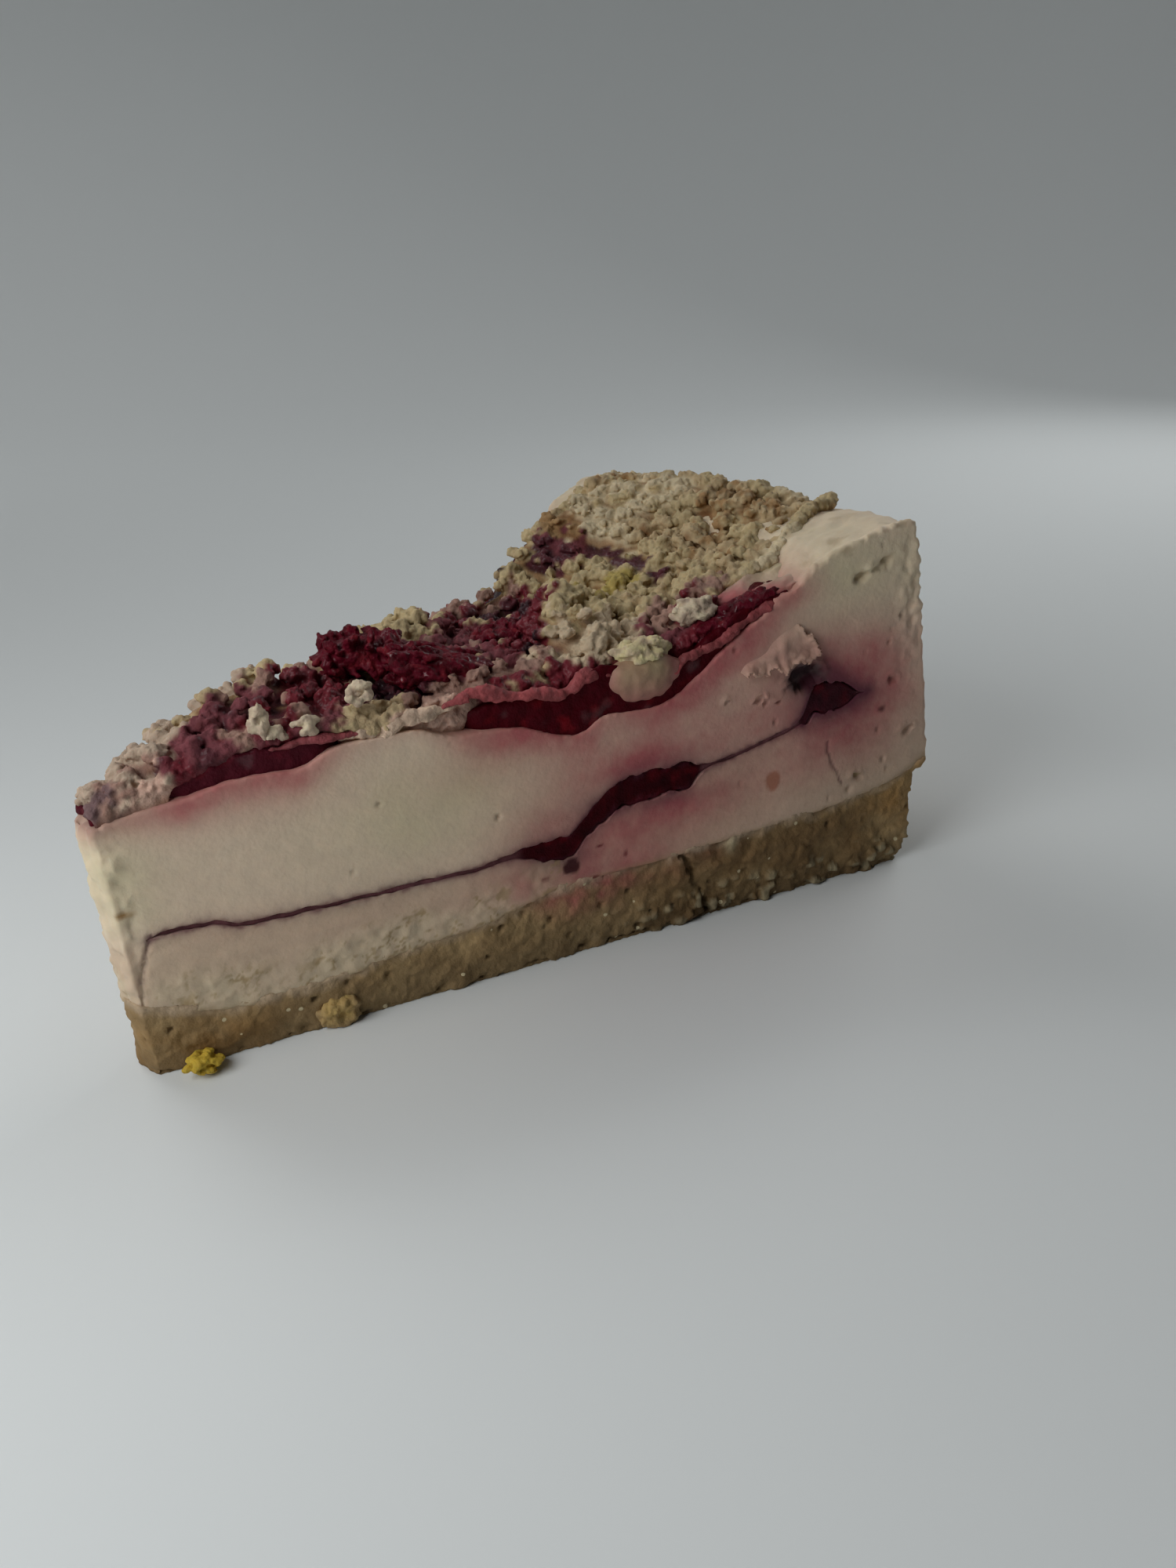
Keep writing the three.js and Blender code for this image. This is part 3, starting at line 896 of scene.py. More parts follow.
@dataclass
class Crust:
    """Pressed crust with crumbly sides."""

    noise: Noise = field(default_factory=lambda: Noise(11))
    clod: float = 2.2
    shelf: float = 5.0
    grain: float = 0.95
    lost_grains: float = 0.025
    crack: Curve = Curve(((0.0, 82.6), (6.4, 80.3), (10.5, 78.7)))
    crack_depth: float = 1.2
    chip: Spot = Spot(86, 10.2, 0.9, 1.3)
    pinks: tuple = spots((67, 10, 4, 3.5, 0.7), (61, 9, 4, 2.5, 0.35), (78, 10, 8, 2.5, 0.15))

    def build(self) -> Piece:
        """Makes the crust.

        Returns:
            The finished mesh, painted.
        """
        piece = swept("crust", (60, 6, 24), self._shape)
        even(piece, Remesh.BODY.value)
        self._roughen(piece)
        self._paint(piece)
        return piece

    def _shape(self, along: Array, share: Array, up: Array) -> Array:
        """Slab from the flat underside up to the cheesecake.

        Args:
            along: Shares of the way to the rim.
            share: Shares of the half angle.
            up: Shares of the way up.

        Returns:
            Rows of points.
        """
        radius = lerp(CAKE.tip_radius(share), CAKE.outer_radius(up * 12), along)
        height = up * (CAKE.crust_top(radius, share) + 0.4)
        return place(lerp(CAKE.tip_radius(share), CAKE.outer_radius(height), along), share, height)

    def _roughen(self, piece: Piece) -> None:
        """Crags, grains and a crack on the sides; the underside stays flat.

        Args:
            piece: The mesh.
        """
        p, out = points_of(piece), normals_of(piece)
        radius, share, height = polar(p)
        bent = p + 0.8 * self.noise.soft(p, 2.5, 2)[:, None]
        clods, _, _ = self.noise.cells(bent * (1, 1, 1.5), self.clod)
        grain, _, grain_key = self.noise.cells(p, self.grain)
        _, shelf_gap, shelf_key = self.noise.cells(bent * (0.8, 0.8, 1.4), self.shelf)
        craggy = lerp(0.55, 1.0, smooth(radius, 55, 80))
        move = 0.4 * self.noise.soft(p, 6, 2) + craggy * 0.4 * (0.5 - clods) + 0.12 * self.noise.soft(p, 1.3, 2)
        move += craggy * 0.6 * (shelf_key - 0.5) * smooth(shelf_gap, 0, 0.12) + 0.12 * self.noise.soft(p, 0.7)
        move += 0.6 * self._chips(p, radius, height)
        move -= 0.5 * (grain_key < self.lost_grains) * smooth(0.55 - grain, 0, 0.25)
        move -= 0.8 * smooth(1.8 - height, 0, 1.8) * smooth(self.noise.soft(p, 2.6, 2), -0.1, 0.5)
        move -= self.crack_depth * self._cracked(p, 0.55)
        sunk = smooth(radius - self.crack(height), 0, 0.5) * smooth(88 - radius, 0, 5)
        move -= 0.35 * sunk * (share < NEAR_FACE)
        side = 1 - smooth(np.abs(out[:, 2]), 0.75, 0.98)
        push(piece, move * side, floor=0)

    def _cracked(self, p: Array, half: float) -> Array:
        """Open crack in the near face.

        Args:
            p: Rows of points.
            half: Half the crack's width.

        Returns:
            How far each point lies in it, from 0 to 1.
        """
        radius, share, height = polar(p)
        off = np.abs(radius - self.crack(height) + 0.6 * self.noise.soft(p, 1.6, 2))
        return smooth(half - off, 0, 0.4) * (share < NEAR_FACE) * smooth(self.noise.soft(p, 3), -0.6, -0.1)

    def _chips(self, p: Array, radius: Array, height: Array) -> Array:
        """Pale chips that stand out of the lower right part, from 0 to 1.

        Args:
            p: Rows of points.
            radius: Radii from the cake's axis.
            height: Heights.

        Returns:
            How far each point lies on a chip.
        """
        near, _, key = self.noise.cells(p * (1, 1, 1.4) + 31, 1.7)
        low = smooth(radius, 60, 84) * smooth(5.5 - height, 0, 2.5)
        return (key < 0.36) * smooth(0.62 - near, 0, 0.2) * low + self.chip.at(radius, height)

    def _paint(self, piece: Piece) -> None:
        """Sandy tan, with painted shade in the pits and the crack and towards the bottom, orange-brown at the ends,
        stained below the seam.

        Args:
            piece: The mesh.
        """
        p = points_of(piece)
        radius, share, height = polar(p)
        patch = smooth(self.noise.soft(p, 6, 3), -0.4, 0.6)
        grain, _, grain_key = self.noise.cells(p, self.grain)
        dark = 0.4 * patch + 0.5 * smooth(radius, 62, 82) * smooth(112 - radius, 0, 7)
        tint = mix(Palette.CRUST, Palette.CRUST_DARK, dark)
        ends = 0.6 * smooth(radius, 104, 115) * smooth(height, 2, 12)
        ends += 0.5 * smooth(30 - radius, 0, 12) * smooth(8 - height, 0, 6)
        tint = mix(tint, Palette.CRUST_ORANGE, np.clip(ends * (0.4 + patch), 0, 1))
        pink = total(self.pinks, radius, height) * (share < 0) * (1 + self.noise.soft(p, 2.5, 2))
        tint = mix(tint, Palette.PINK * 0.8, np.clip(pink, 0, 0.7))
        under = CAKE.crust_top(radius, share) - height + 0.7 * self.noise.soft(p, 1.6, 2)
        tint = mix(tint, Palette.CREAM_LOW * 0.85, 0.6 * smooth(1.6 - under, 0, 2))
        tint = tint * (1 + 0.14 * self.noise.soft(p, 0.9, 3) + 0.12 * self.noise.soft(p, 3.5, 2))[:, None]
        tint = mix(tint, Palette.SUGAR_AND_GLINT * 0.75, 0.7 * self._chips(p, radius, height))
        # Painted shade: the pits and the crack are painted dark.
        pits = (grain_key < self.lost_grains) * smooth(0.6 - grain, 0, 0.3)
        pits = np.maximum(pits, 0.8 * self._cracked(p, 0.6))
        tint = mix(tint, Palette.CRUST_DARK * 0.4, 0.7 * pits)
        # Painted shade: the crust is darker towards its underside.
        tint = tint * lerp(0.66, 1.0, smooth(height, 0, 6.5))[:, None]
        paint(piece, tint, 0.0)


@dataclass
class Cheesecake:
    """Two pours of cheesecake with the seam's slot cut through them."""

    noise: Noise = field(default_factory=lambda: Noise(23))
    stains: tuple = spots(
        (17, 32, 6, 2.4, 0.2), (27, 31.6, 9, 3, 0.25), (56, 30.5, 9, 3.5, 0.25), (50, 28, 14, 4, 0.06),
        (88, 22, 30, 13, 0.36), (74, 26, 12, 3, 0.3), (68, 25, 6, 3.2, 0.2), (86, 34, 8, 4, 0.15),
        (94, 37, 5, 4, 0.2), (67, 13.5, 11, 5, 0.5), (76, 17.5, 10, 3, 0.45), (60, 20, 6, 4, 0.3),
        (103, 33, 8, 5, 0.65), (103, 24, 9, 4, 0.5), (111, 28, 5, 7, 0.35), (105.5, 29.5, 4, 4, 0.3),
        (75, 25, 8, 1.8, 0.3), (70, 28.5, 8, 2.5, 0.1), (57, 32, 4, 1.5, 0.15), (95.5, 42.8, 4, 2.2, 0.35),
        (80, 18, 8, 2.5, 0.15), (90, 28, 7, 4, 0.25), (57, 12, 7, 3, 0.35), (70, 10.5, 7, 2, 0.3),
        (102, 19, 8, 3.5, 0.25), (40, 13, 26, 3, 0.08), (22, 17, 7, 2, 0.12)
    )
    inks: tuple = spots(
        (101.5, 28, 5.2, 3.6, 0.95), (99.5, 31.5, 3.6, 3.2, 0.5), (105.5, 27, 4, 2, 0.4), (78, 24.6, 6, 1.4, 0.25),
        (77, 19, 6, 1, 0.4), (68, 20.5, 5, 2.6, 0.35), (62.5, 14.2, 3.6, 1.6, 0.65), (9.5, 33, 2.5, 1.6, 0.5),
        (66.5, 11, 4, 1.2, 0.25)
    )
    yellows: tuple = spots(
        (47, 26, 12, 6, 0.95), (11, 25, 4, 6, 0.9), (104, 44, 12, 6, 0.7), (104, 15, 14, 4, 0.4)
    )
    marks: tuple = (
        (Palette.FLECK * 0.85, Spot(92.5, 17.8, 1.0, 1.3, 1.8)),
        (Palette.JAM, Spot(63.1, 13, 1.0, 0.95, 2.4)),
        (Palette.PURPLE * 0.7, Spot(98.6, 30.2, 1.6, 1.3, 1.3)),
        (Palette.CRIMSON, Spot(67, 14.9, 0.7, 0.35, 0.9)),
        (Palette.CRIMSON, Spot(66.2, 10.6, 0.9, 0.5, 0.8)),
        (Palette.CRIMSON, Spot(70.6, 12.8, 0.5, 0.9, 0.7)),
        (Palette.CRIMSON, Spot(59.5, 12.2, 1.2, 0.4, 0.7)),
        (Palette.CRUST_ORANGE, Spot(11.6, 21.5, 1.6, 0.7, 0.8)),
        (Palette.CRUST, Spot(106, 15.4, 0.7, 0.5, 1)),
        (Palette.JAM, Spot(109.6, 24.6, 0.8, 0.8, 0.7)),
        (Palette.JAM, Spot(110.8, 28.6, 0.8, 0.4, 0.8)),
    )
    pits: tuple = (
        (85.6, 30.5, 0.4, 0.5), (90.3, 29.8, 0.6, 0.5), (93.2, 29, 0.5, 0.6), (94.6, 30.8, 0.5, 0.5),
        (97.2, 31.6, 2.5, 1.5), (91.3, 29.4, 0.5, 0.4), (106, 15.4, 0.8, 0.5), (111, 28.6, 0.7, 0.4),
        (114, 20.5, 0.9, 0.5),
    )
    slits: tuple = (
        (((14.6, 103.6), (17, 102.4), (19, 101.4), (21.6, 101.0)), 0.22, 0.25),
        (((9.5, 10.6), (13, 11.4), (16, 12.4), (18.4, 13.4)), 0.3, 0.35),
    )

    hole: Spot = Spot(97, 31.6, 2.8, 2.1, 1.3)
    pore: float = 3.2

    def build(self) -> Piece:
        """Makes the cheesecake.

        Returns:
            The finished mesh, painted.
        """
        piece = swept("cheesecake", (70, 12, 24), self._shape)
        even(piece, Remesh.BODY.value)
        self._roughen(piece)
        slot = Seam().slab("slot", swell=0.02, reach=3.0)
        modify(piece, "BOOLEAN", operation="DIFFERENCE", solver="MANIFOLD", object=slot)
        bpy.data.objects.remove(slot)
        self._paint(piece)
        return piece

    def _shape(self, along: Array, share: Array, up: Array) -> Array:
        """Body between the crust and the topping.

        Args:
            along: Shares of the way to the rim.
            share: Shares of the half angle.
            up: Shares of the way up.

        Returns:
            Rows of points.
        """
        radius = lerp(CAKE.tip_radius(share), CAKE.outer_radius(30), along)
        height = lerp(CAKE.crust_top(radius, share) - 0.4, CAKE.cream_top(radius, share), up)
        return place(lerp(CAKE.tip_radius(share), CAKE.outer_radius(height), along), share, height)

    def _roughen(self, piece: Piece) -> None:
        """Waves, pores, curds by the crust, pits and the folds of the bare rim.

        Args:
            piece: The mesh.
        """
        p, out = points_of(piece), normals_of(piece)
        radius, share, height = polar(p)
        over = height - CAKE.crust_top(radius, share)
        near_face = share < NEAR_FACE
        move = 0.2 * self.noise.soft(p, 11) + 0.02 * self.noise.soft(p, 1.8, 2)
        move += 0.1 * self.noise.soft(p * (0.3, 1, 1), 1.6, 2) * smooth(18 - over, 0, 10)
        near, _, key = self.noise.cells(p, self.pore)
        pores = smooth(radius, 96, 104) + 0.35
        move -= (key < 0.4 * pores) * 0.4 * smooth(0.13 + 0.1 * key - near, 0, 0.1)
        bent = p * (0.6, 1, 1.2) + 0.5 * self.noise.soft(p, 1.4, 2)[:, None]
        curd, _, curd_key = self.noise.cells(bent, 1.15)
        curdled = 0.12 * (0.45 - curd) + 0.08 * (curd_key - 0.5) + 0.2 * self.noise.soft(p, 1.8, 3)
        move += self._curds(p, radius, over) * curdled
        move += 0.45 * self.noise.soft(p, 2.2, 3) * smooth(13.5 - radius, 0, 2)
        for r, z, size, depth in self.pits:
            away_from = np.hypot(radius - r, 1.3 * (height - z)) + min(0.9 * size, 0.7) * self.noise.soft(p, 0.9, 2)
            move -= depth * smooth(size - away_from, -0.1 * size, 0.5 * size) * near_face
            move += 0.25 * np.exp(-(((away_from - 1.25 * size) / 0.4) ** 2)) * near_face * (height > z)
        for path, width, depth in self.slits:
            move -= depth * smooth(width - self._beside(path, p, radius, height), 0, width) * near_face
        move += near_face * self._gash(p, radius, height)
        move += near_face * 0.5 * Spot(114, 40, 3, 9).at(radius, height) * self.noise.soft(p, 1.5, 3)
        ripple = 0.35 * self.noise.soft(p * (0.35, 1, 1), 2.4, 2) + 0.35 * self.noise.soft(p, 5, 2)
        inward = (share + 1) * radius * HALF_ANGLE
        edge = np.exp(-(((inward - 0.5) / 0.7) ** 2)) * (height > 42) * (0.55 + 0.9 * self.noise.soft(p, 1.8, 2))
        top = smooth(out[:, 2], 0.5, 0.9) * smooth(radius, 88, 94)
        push(piece, lerp(move, ripple + 0.6 * edge, top))

    def _beside(self, path: tuple, p: Array, radius: Array, height: Array) -> Array:
        """Distance from an upright slit in the near face, large above and below it.

        Args:
            path: Heights and radii along the slit.
            p: Rows of points.
            radius: Radii from the cake's axis.
            height: Heights.

        Returns:
            Distances.
        """
        (low, _), *_, (high, _) = path
        off = np.abs(radius - Curve(path)(height) + 0.3 * self.noise.soft(p, 1.2))
        return off + 9 * (1 - smooth(height, low - 0.5, low) * smooth(high + 0.5 - height, 0, 0.5))

    def _curds(self, p: Array, radius: Array, over: Array) -> Array:
        """Where the cheesecake is curdled above the crust, from 0 to 1."""
        return smooth(6.5 - over, 0, 3.5) * smooth(self.noise.soft(p, 7, 2), -0.45, 0.2) * smooth(66 - radius, 0, 8)

    def _gash(self, p: Array, radius: Array, height: Array) -> Array:
        """Torn groove near the top of the rim with a lump in it, in millimetres out of the face.

        Args:
            p: Rows of points.
            radius: Radii from the cake's axis.
            height: Heights.

        Returns:
            Distances.
        """
        off = np.abs(height - 43.1 - 0.36 * (radius - 104) + 0.5 * self.noise.soft(p, 1.3, 2))
        within = smooth(radius, 103.6, 104.6) * smooth(111 - radius, 0, 2)
        groove = smooth(1 - off, 0, 0.8) * within * (0.6 + 0.7 * self.noise.soft(p + 9, 1.6, 2))
        return 0.9 * Spot(107.2, 44.4, 1.3, 0.6).at(radius, height) - 1.2 * np.maximum(groove, 0)

    def tint(self, p: Array) -> Array:
        """Cream, with the pink that the sauce and the seam bled into it.

        Args:
            p: Rows of points.

        Returns:
            Rows of linear colours.
        """
        radius, share, height = polar(p)
        cloudy = self.noise.soft(p, 7, 3)
        under = CAKE.cream_top(radius, share) - height
        yellow = total(self.yellows, radius, height) * (1 + 0.5 * cloudy)
        tint = mix(Palette.CREAM, Palette.CREAM_YELLOW, np.clip(yellow, 0, 1))
        low = smooth(CAKE.jam_middle(radius, share) - height, -0.5, 1.5)
        tint = mix(tint, Palette.CREAM_LOW, low * (1 - 0.6 * smooth(radius, 82, 96)))
        bleed = Curve((
            (9, 0.25), (16, 0.3), (20, 0.6), (35, 0.55), (40, 0.25), (47, 0.25), (52, 0.5), (75, 0.55), (84, 0.75),
            (91, 0.7), (96, 0.3), (101, 0)))(radius)
        depth = Curve(((9, 1.5), (20, 2.6), (35, 2.4), (45, 1.5), (55, 3), (70, 2.6), (84, 4), (95, 3)))(radius)
        stain = bleed * np.exp(-((under / depth) ** 2)) + total(self.stains, radius, height)
        stain = np.clip(stain * (1 + 0.22 * cloudy + 0.12 * self.noise.soft(p, 1.2, 2)), 0, 0.95)
        tint = mix(tint, Palette.PINK, stain)
        ink = np.clip(total(self.inks, radius, height) * (1 + 0.5 * cloudy), 0, 0.8)
        tint = mix(tint, Palette.PURPLE, ink)
        beside = np.abs(height - CAKE.jam_middle(radius, share)) - CAKE.jam_half(radius, share)
        beside += 0.3 * self.noise.soft(p, 1.1, 2)
        blurred = Curve(((50, 0.45), (59, 0.85), (81, 0.8), (86, 0.45), (94, 0.5), (98, 1.2)))(radius)
        inked = np.exp(-np.maximum(beside, 0) / blurred) * smooth(radius, 11.5, 13.5) * smooth(109 - radius, 0, 2)
        inked = inked * lerp(0.8, 1.0, smooth(radius, 94, 98))
        return mix(tint, Palette.PURPLE, inked)

    def _paint(self, piece: Piece) -> None:
        """Stained cream with its marks and curds, and painted shade in the hole and on the lower right of the near
        face.

        Args:
            piece: The mesh.
        """
        p = points_of(piece)
        radius, share, height = polar(p)
        tint = self.tint(p)
        near_face = share < NEAR_FACE
        over = height - CAKE.crust_top(radius, share)
        bent = p * (0.6, 1, 1.2) + 0.9 * self.noise.soft(p, 1.4, 2)[:, None]
        curd, gap, curd_key = self.noise.cells(bent, 1.5)
        curds = self._curds(p, radius, over)
        tint = mix(tint, Palette.CREAM_YELLOW * 0.92, 0.4 * curds)
        torn = smooth(self.noise.soft(p + 70, 2.4, 2), 0, 0.35)
        gaps = smooth(curd, 0.6, 0.95) * 0.25 + torn * 0.9 * smooth(0.14 - gap, 0, 0.1) + 0.6 * (curd_key < 0.04)
        gaps = gaps * curds
        tint = mix(tint, Palette.CRUST, np.clip(gaps + 0.5 * smooth(0.8 - over, 0, 1.4), 0, 0.8))
        for path, width, _ in self.slits:
            line = smooth(1.6 * width - self._beside(path, p, radius, height), 0, 1.6 * width) * near_face
            tint = mix(tint, Palette.PURPLE, 0.55 * line)
        groove = np.clip(-self._gash(p, radius, height), 0, 1) * near_face
        tint = mix(tint, Palette.CRUST * 0.8, 0.6 * groove)
        crown = smooth(radius, 96, 99) * (height > CAKE.cream_top(radius, share) - 0.8)
        tan = smooth(self.noise.soft(p * (0.4, 1, 1), 2, 3), 0.15, 0.7) * crown
        tint = mix(tint, Palette.TAN, 0.45 * tan)
        ragged = 1 + 0.5 * self.noise.soft(p, 1.2, 2)
        # Painted shade: the inside of the hole in the near face is painted dark purple-grey.
        hole = self.hole.at(radius, height) * ragged * near_face
        grey = smooth(self.noise.soft(p, 1.2, 2), -0.2, 0.5)
        inside = mix(Palette.PURPLE * 0.25, Palette.DUSK * 0.6, grey)
        tint = mix(tint, inside, np.clip(1.6 * hole - 0.2, 0, 1))
        for colour, spot in self.marks:
            mark = np.clip(2 * spot.at(radius, height) * ragged - 0.7, 0, 1) * near_face
            tint = mix(tint, colour, 0.96 * mark)
        # Painted shade: the lower right of the near face, towards the rim, is painted darker.
        tint = tint * (1 - 0.12 * smooth(radius, 92, 108) * smooth(30 - height, 0, 10))[:, None]
        tint = tint * (1 + 0.05 * self.noise.soft(p, 2.2, 3))[:, None]
        paint(piece, tint, 0.0)


@dataclass
class Seam:
    """Dark jam between the two pours."""

    noise: Noise = field(default_factory=lambda: Noise(37))
    start: float = 12.8
    end: float = 106.2

    def slab(self, name: str, swell: float, reach: float) -> Piece:
        """Thin wavy slab.

        Args:
            name: Name of the new object.
            swell: How much thicker it is on each side.
            reach: How far it stands out of the cut faces, less than 0 where it stands back.

        Returns:
            The mesh.
        """

        def shape(along: Array, share: Array, up: Array) -> Array:
            """Points of the slab.

            Args:
                along: Shares of the way to the rim.
                share: Shares of the half angle.
                up: Shares of the way up.

            Returns:
                Rows of points.
            """
            radius = lerp(self.start, self.end, along)
            flat = place(radius, share, np.zeros_like(radius))
            half = CAKE.jam_half(radius, share) * (1 + 0.4 * self.noise.soft(flat, 2.2, 3)) + swell
            ends = np.clip(np.minimum(along, 1 - along) * 40, 0.15, 1)
            middle = CAKE.jam_middle(radius, share) + 0.22 * self.noise.soft(flat + 50, 2.6, 3)
            p = place(radius, share, middle + (2 * up - 1) * half * ends)
            p[:, 1] += np.where(np.abs(share) > 0.999, np.sign(share) * reach, 0)
            return p

        return swept(name, (360, 6, 30), shape)

    def build(self) -> Piece:
        """Makes the seam.

        Returns:
            The finished mesh, painted.
        """
        piece = self.slab("strawberry_seam", swell=0.0, reach=-0.15)
        p = points_of(piece)
        radius, _, height = polar(p)
        near = np.full_like(radius, -1)
        half = CAKE.jam_half(radius, near)
        thin = smooth(1.6 - 2 * half, 0, 0.8)
        edge = np.abs(height - CAKE.jam_middle(radius, near)) / half
        tint = mix(Palette.JAM * 0.75, Palette.SEAM_LINE, thin)
        blur = smooth(edge + 0.25 * self.noise.soft(p, 1.2, 2), 0.7, 1.1)
        tint = mix(tint, Palette.PURPLE * 0.7, 0.7 * blur)
        tint = mix(tint, Palette.PURPLE * 0.35, 0.6 * smooth(radius, 94, 98))
        # Painted highlights: brighter red patches on the thick part of the seam.
        painted_glint = smooth(self.noise.soft(p + 30, 2.4, 2), 0.1, 0.6) * (1 - thin)
        tint = mix(tint, Palette.JAM_HIGHLIGHT, 0.25 * painted_glint)
        paint(piece, tint * (1 + 0.4 * self.noise.soft(p, 1.6, 2))[:, None], 0.0)
        return piece


@dataclass
class Sauce:
    """Strawberry sauce on the cheesecake, open at the cut faces."""

    noise: Noise = field(default_factory=lambda: Noise(41))

    def build(self) -> Piece:
        """Makes the sauce.

        Returns:
            The finished mesh, painted.
        """
        piece = swept("strawberry_sauce", (90, 4, 24), self._shape)
        even(piece, Remesh.SAUCE.value)
        p = points_of(piece)
        push(piece, 0.28 * self.noise.soft(p, 2.6, 2) + 0.1 * self.noise.soft(p, 1))
        p = points_of(piece)
        # Painted highlights: brighter red patches on the wet sauce.
        painted_glint = smooth(self.noise.soft(p, 2.2, 2), 0.2, 0.8)
        wet = smooth(self.noise.soft(p + 40, 3, 2), 0.35, 0.7)
        radius, _, _ = polar(p)
        tint = mix(1.3 * Palette.JAM, Palette.JAM_HIGHLIGHT, 0.6 * painted_glint)
        paint(piece, mix(tint, Palette.PURPLE, 0.25 * smooth(46 - radius, 0, 6)), wet)
        return piece

    def _shape(self, along: Array, share: Array, up: Array) -> Array:
        """Sheet from the tip to the foot of the rim, a little behind the cut faces.

        Args:
            along: Shares of the way to the rim.
            share: Shares of the half angle.
            up: Shares of the way up.

        Returns:
            Rows of points.
        """
        radius = lerp(10.6, CAKE.sauce_end, along)
        edge = CAKE.sauce_near(radius) + 0.7 / (radius * HALF_ANGLE)
        at = lerp(edge, 0.97, away(share))
        return place(radius, at, lerp(CAKE.cream_top(radius, at) - 0.5, CAKE.sauce_top(radius, at), up))


@dataclass
class Lip:
    """Rippled edge of stained cream above the sauce."""

    name: str
    path: tuple
    seed: int
    colour: Array = field(default_factory=lambda: Palette.ROSE)
    half: tuple = (0.85, 0.6)
    step: float = 0.22

    def build(self) -> Piece:
        """Makes the lip from lumps along its path.

        Returns:
            The finished mesh, painted.
        """
        rng = np.random.default_rng(self.seed)
        noise = Noise(self.seed)
        radius = np.arange(self.path[0][0], self.path[-1][0], self.step)
        line = np.stack([radius, 0 * radius, 0 * radius], axis=1)
        ripple = noise.soft(line, 3.2, 2)
        wave = noise.soft(line + 90, 2.4, 2)
        thick = lerp(0.55, 1.15, 0.5 + 0.9 * noise.soft(line + 40, 2.2, 2))[:, None]
        ends = np.clip(np.minimum(radius - radius[0], radius[-1] - radius) / 2.5, 0.35, 1)[:, None]
        sizes = np.clip(thick, 0.45, 1.4) * ends * lerp(0.9, 1.12, rng.random((len(radius), 3)))
        sizes = sizes * (0.75, *self.half)
        height = Curve(self.path)(radius) + 0.35 * ripple + 0.05 * rng.normal(size=len(radius))
        share = -1 + (0.75 + 0.55 * wave) / (radius * HALF_ANGLE)
        piece = lumps(self.name, rng, place(radius, share, height), sizes, turned=False)
        even(piece, Remesh.FINE.value)
        roughen(piece, noise, 0.2, 1.3)
        p = points_of(piece)
        shade = smooth(noise.soft(p, 2.4, 2), -0.6, 0.7)
        paint(piece, mix(self.colour * 0.7, self.colour * 1.3, shade), 0.15)
        return piece


@dataclass
class Smear:
    """Folded smear of cream over the end of the sauce, magenta where it meets it."""

    noise: Noise = field(default_factory=lambda: Noise(53))
    start: float = 84.5
    end: float = 99.5

    def build(self) -> Piece:
        """Makes the smear.

        Returns:
            The finished mesh, painted.
        """
        piece = swept("cream_smear", (60, 4, 60), self._shape)
        even(piece, Remesh.FINE.value)
        roughen(piece, self.noise, 0.1, 0.8)
        p = points_of(piece)
        radius, share, _ = polar(p)
        within = self._within(radius, radius * share * HALF_ANGLE) + 0.7 * self.noise.soft(p, 1.8, 2)
        tint = mix(Palette.CREAM_TOP * 1.15, Palette.PINK_CREAM, smooth(7.5 - within, 0, 5))
        tint = mix(tint, Palette.PINK, 0.9 * smooth(4.2 - within, 0, 3))
        tint = mix(tint, Palette.CRIMSON, smooth(1.3 - within, 0, 1.6))
        paint(piece, tint * (0.88 + 0.2 * self.noise.soft(p, 2.4, 2))[:, None], 0.0)
        return piece

    def _within(self, radius: Array, across: Array) -> Array:
        """Distance from the slanted edge on the sauce."""
        return (radius - 85.5 - 0.72 * (-17 - across)) * 0.81

    def _shape(self, along: Array, share: Array, up: Array) -> Array:
        """Low body with folds along the rim's foot.

        Args:
            along: Shares of the way to the rim.
            share: Shares of the half angle.
            up: Shares of the way up.

        Returns:
            Rows of points.
        """
        radius = lerp(self.start, self.end, along)
        at = lerp(-1 + 1.0 / (radius * HALF_ANGLE), CAKE.crumb_near(radius) + 0.03, away(share))
        flat = place(radius, at, 0 * radius)
        across = radius * at * HALF_ANGLE
        within = self._within(radius, across)
        base = CAKE.sauce_top(radius, at)
        folds = self.noise.soft(flat.reshape(-1, 3) * (0.5, 1, 1), 2.6, 2).reshape(radius.shape)
        thick = (0.9 + 0.8 * folds) * smooth(within, -0.8, 2) * smooth(self.end - radius, -0.5, 4)
        return place(radius, at, lerp(base - 1.6, base - 0.5 + thick, up))


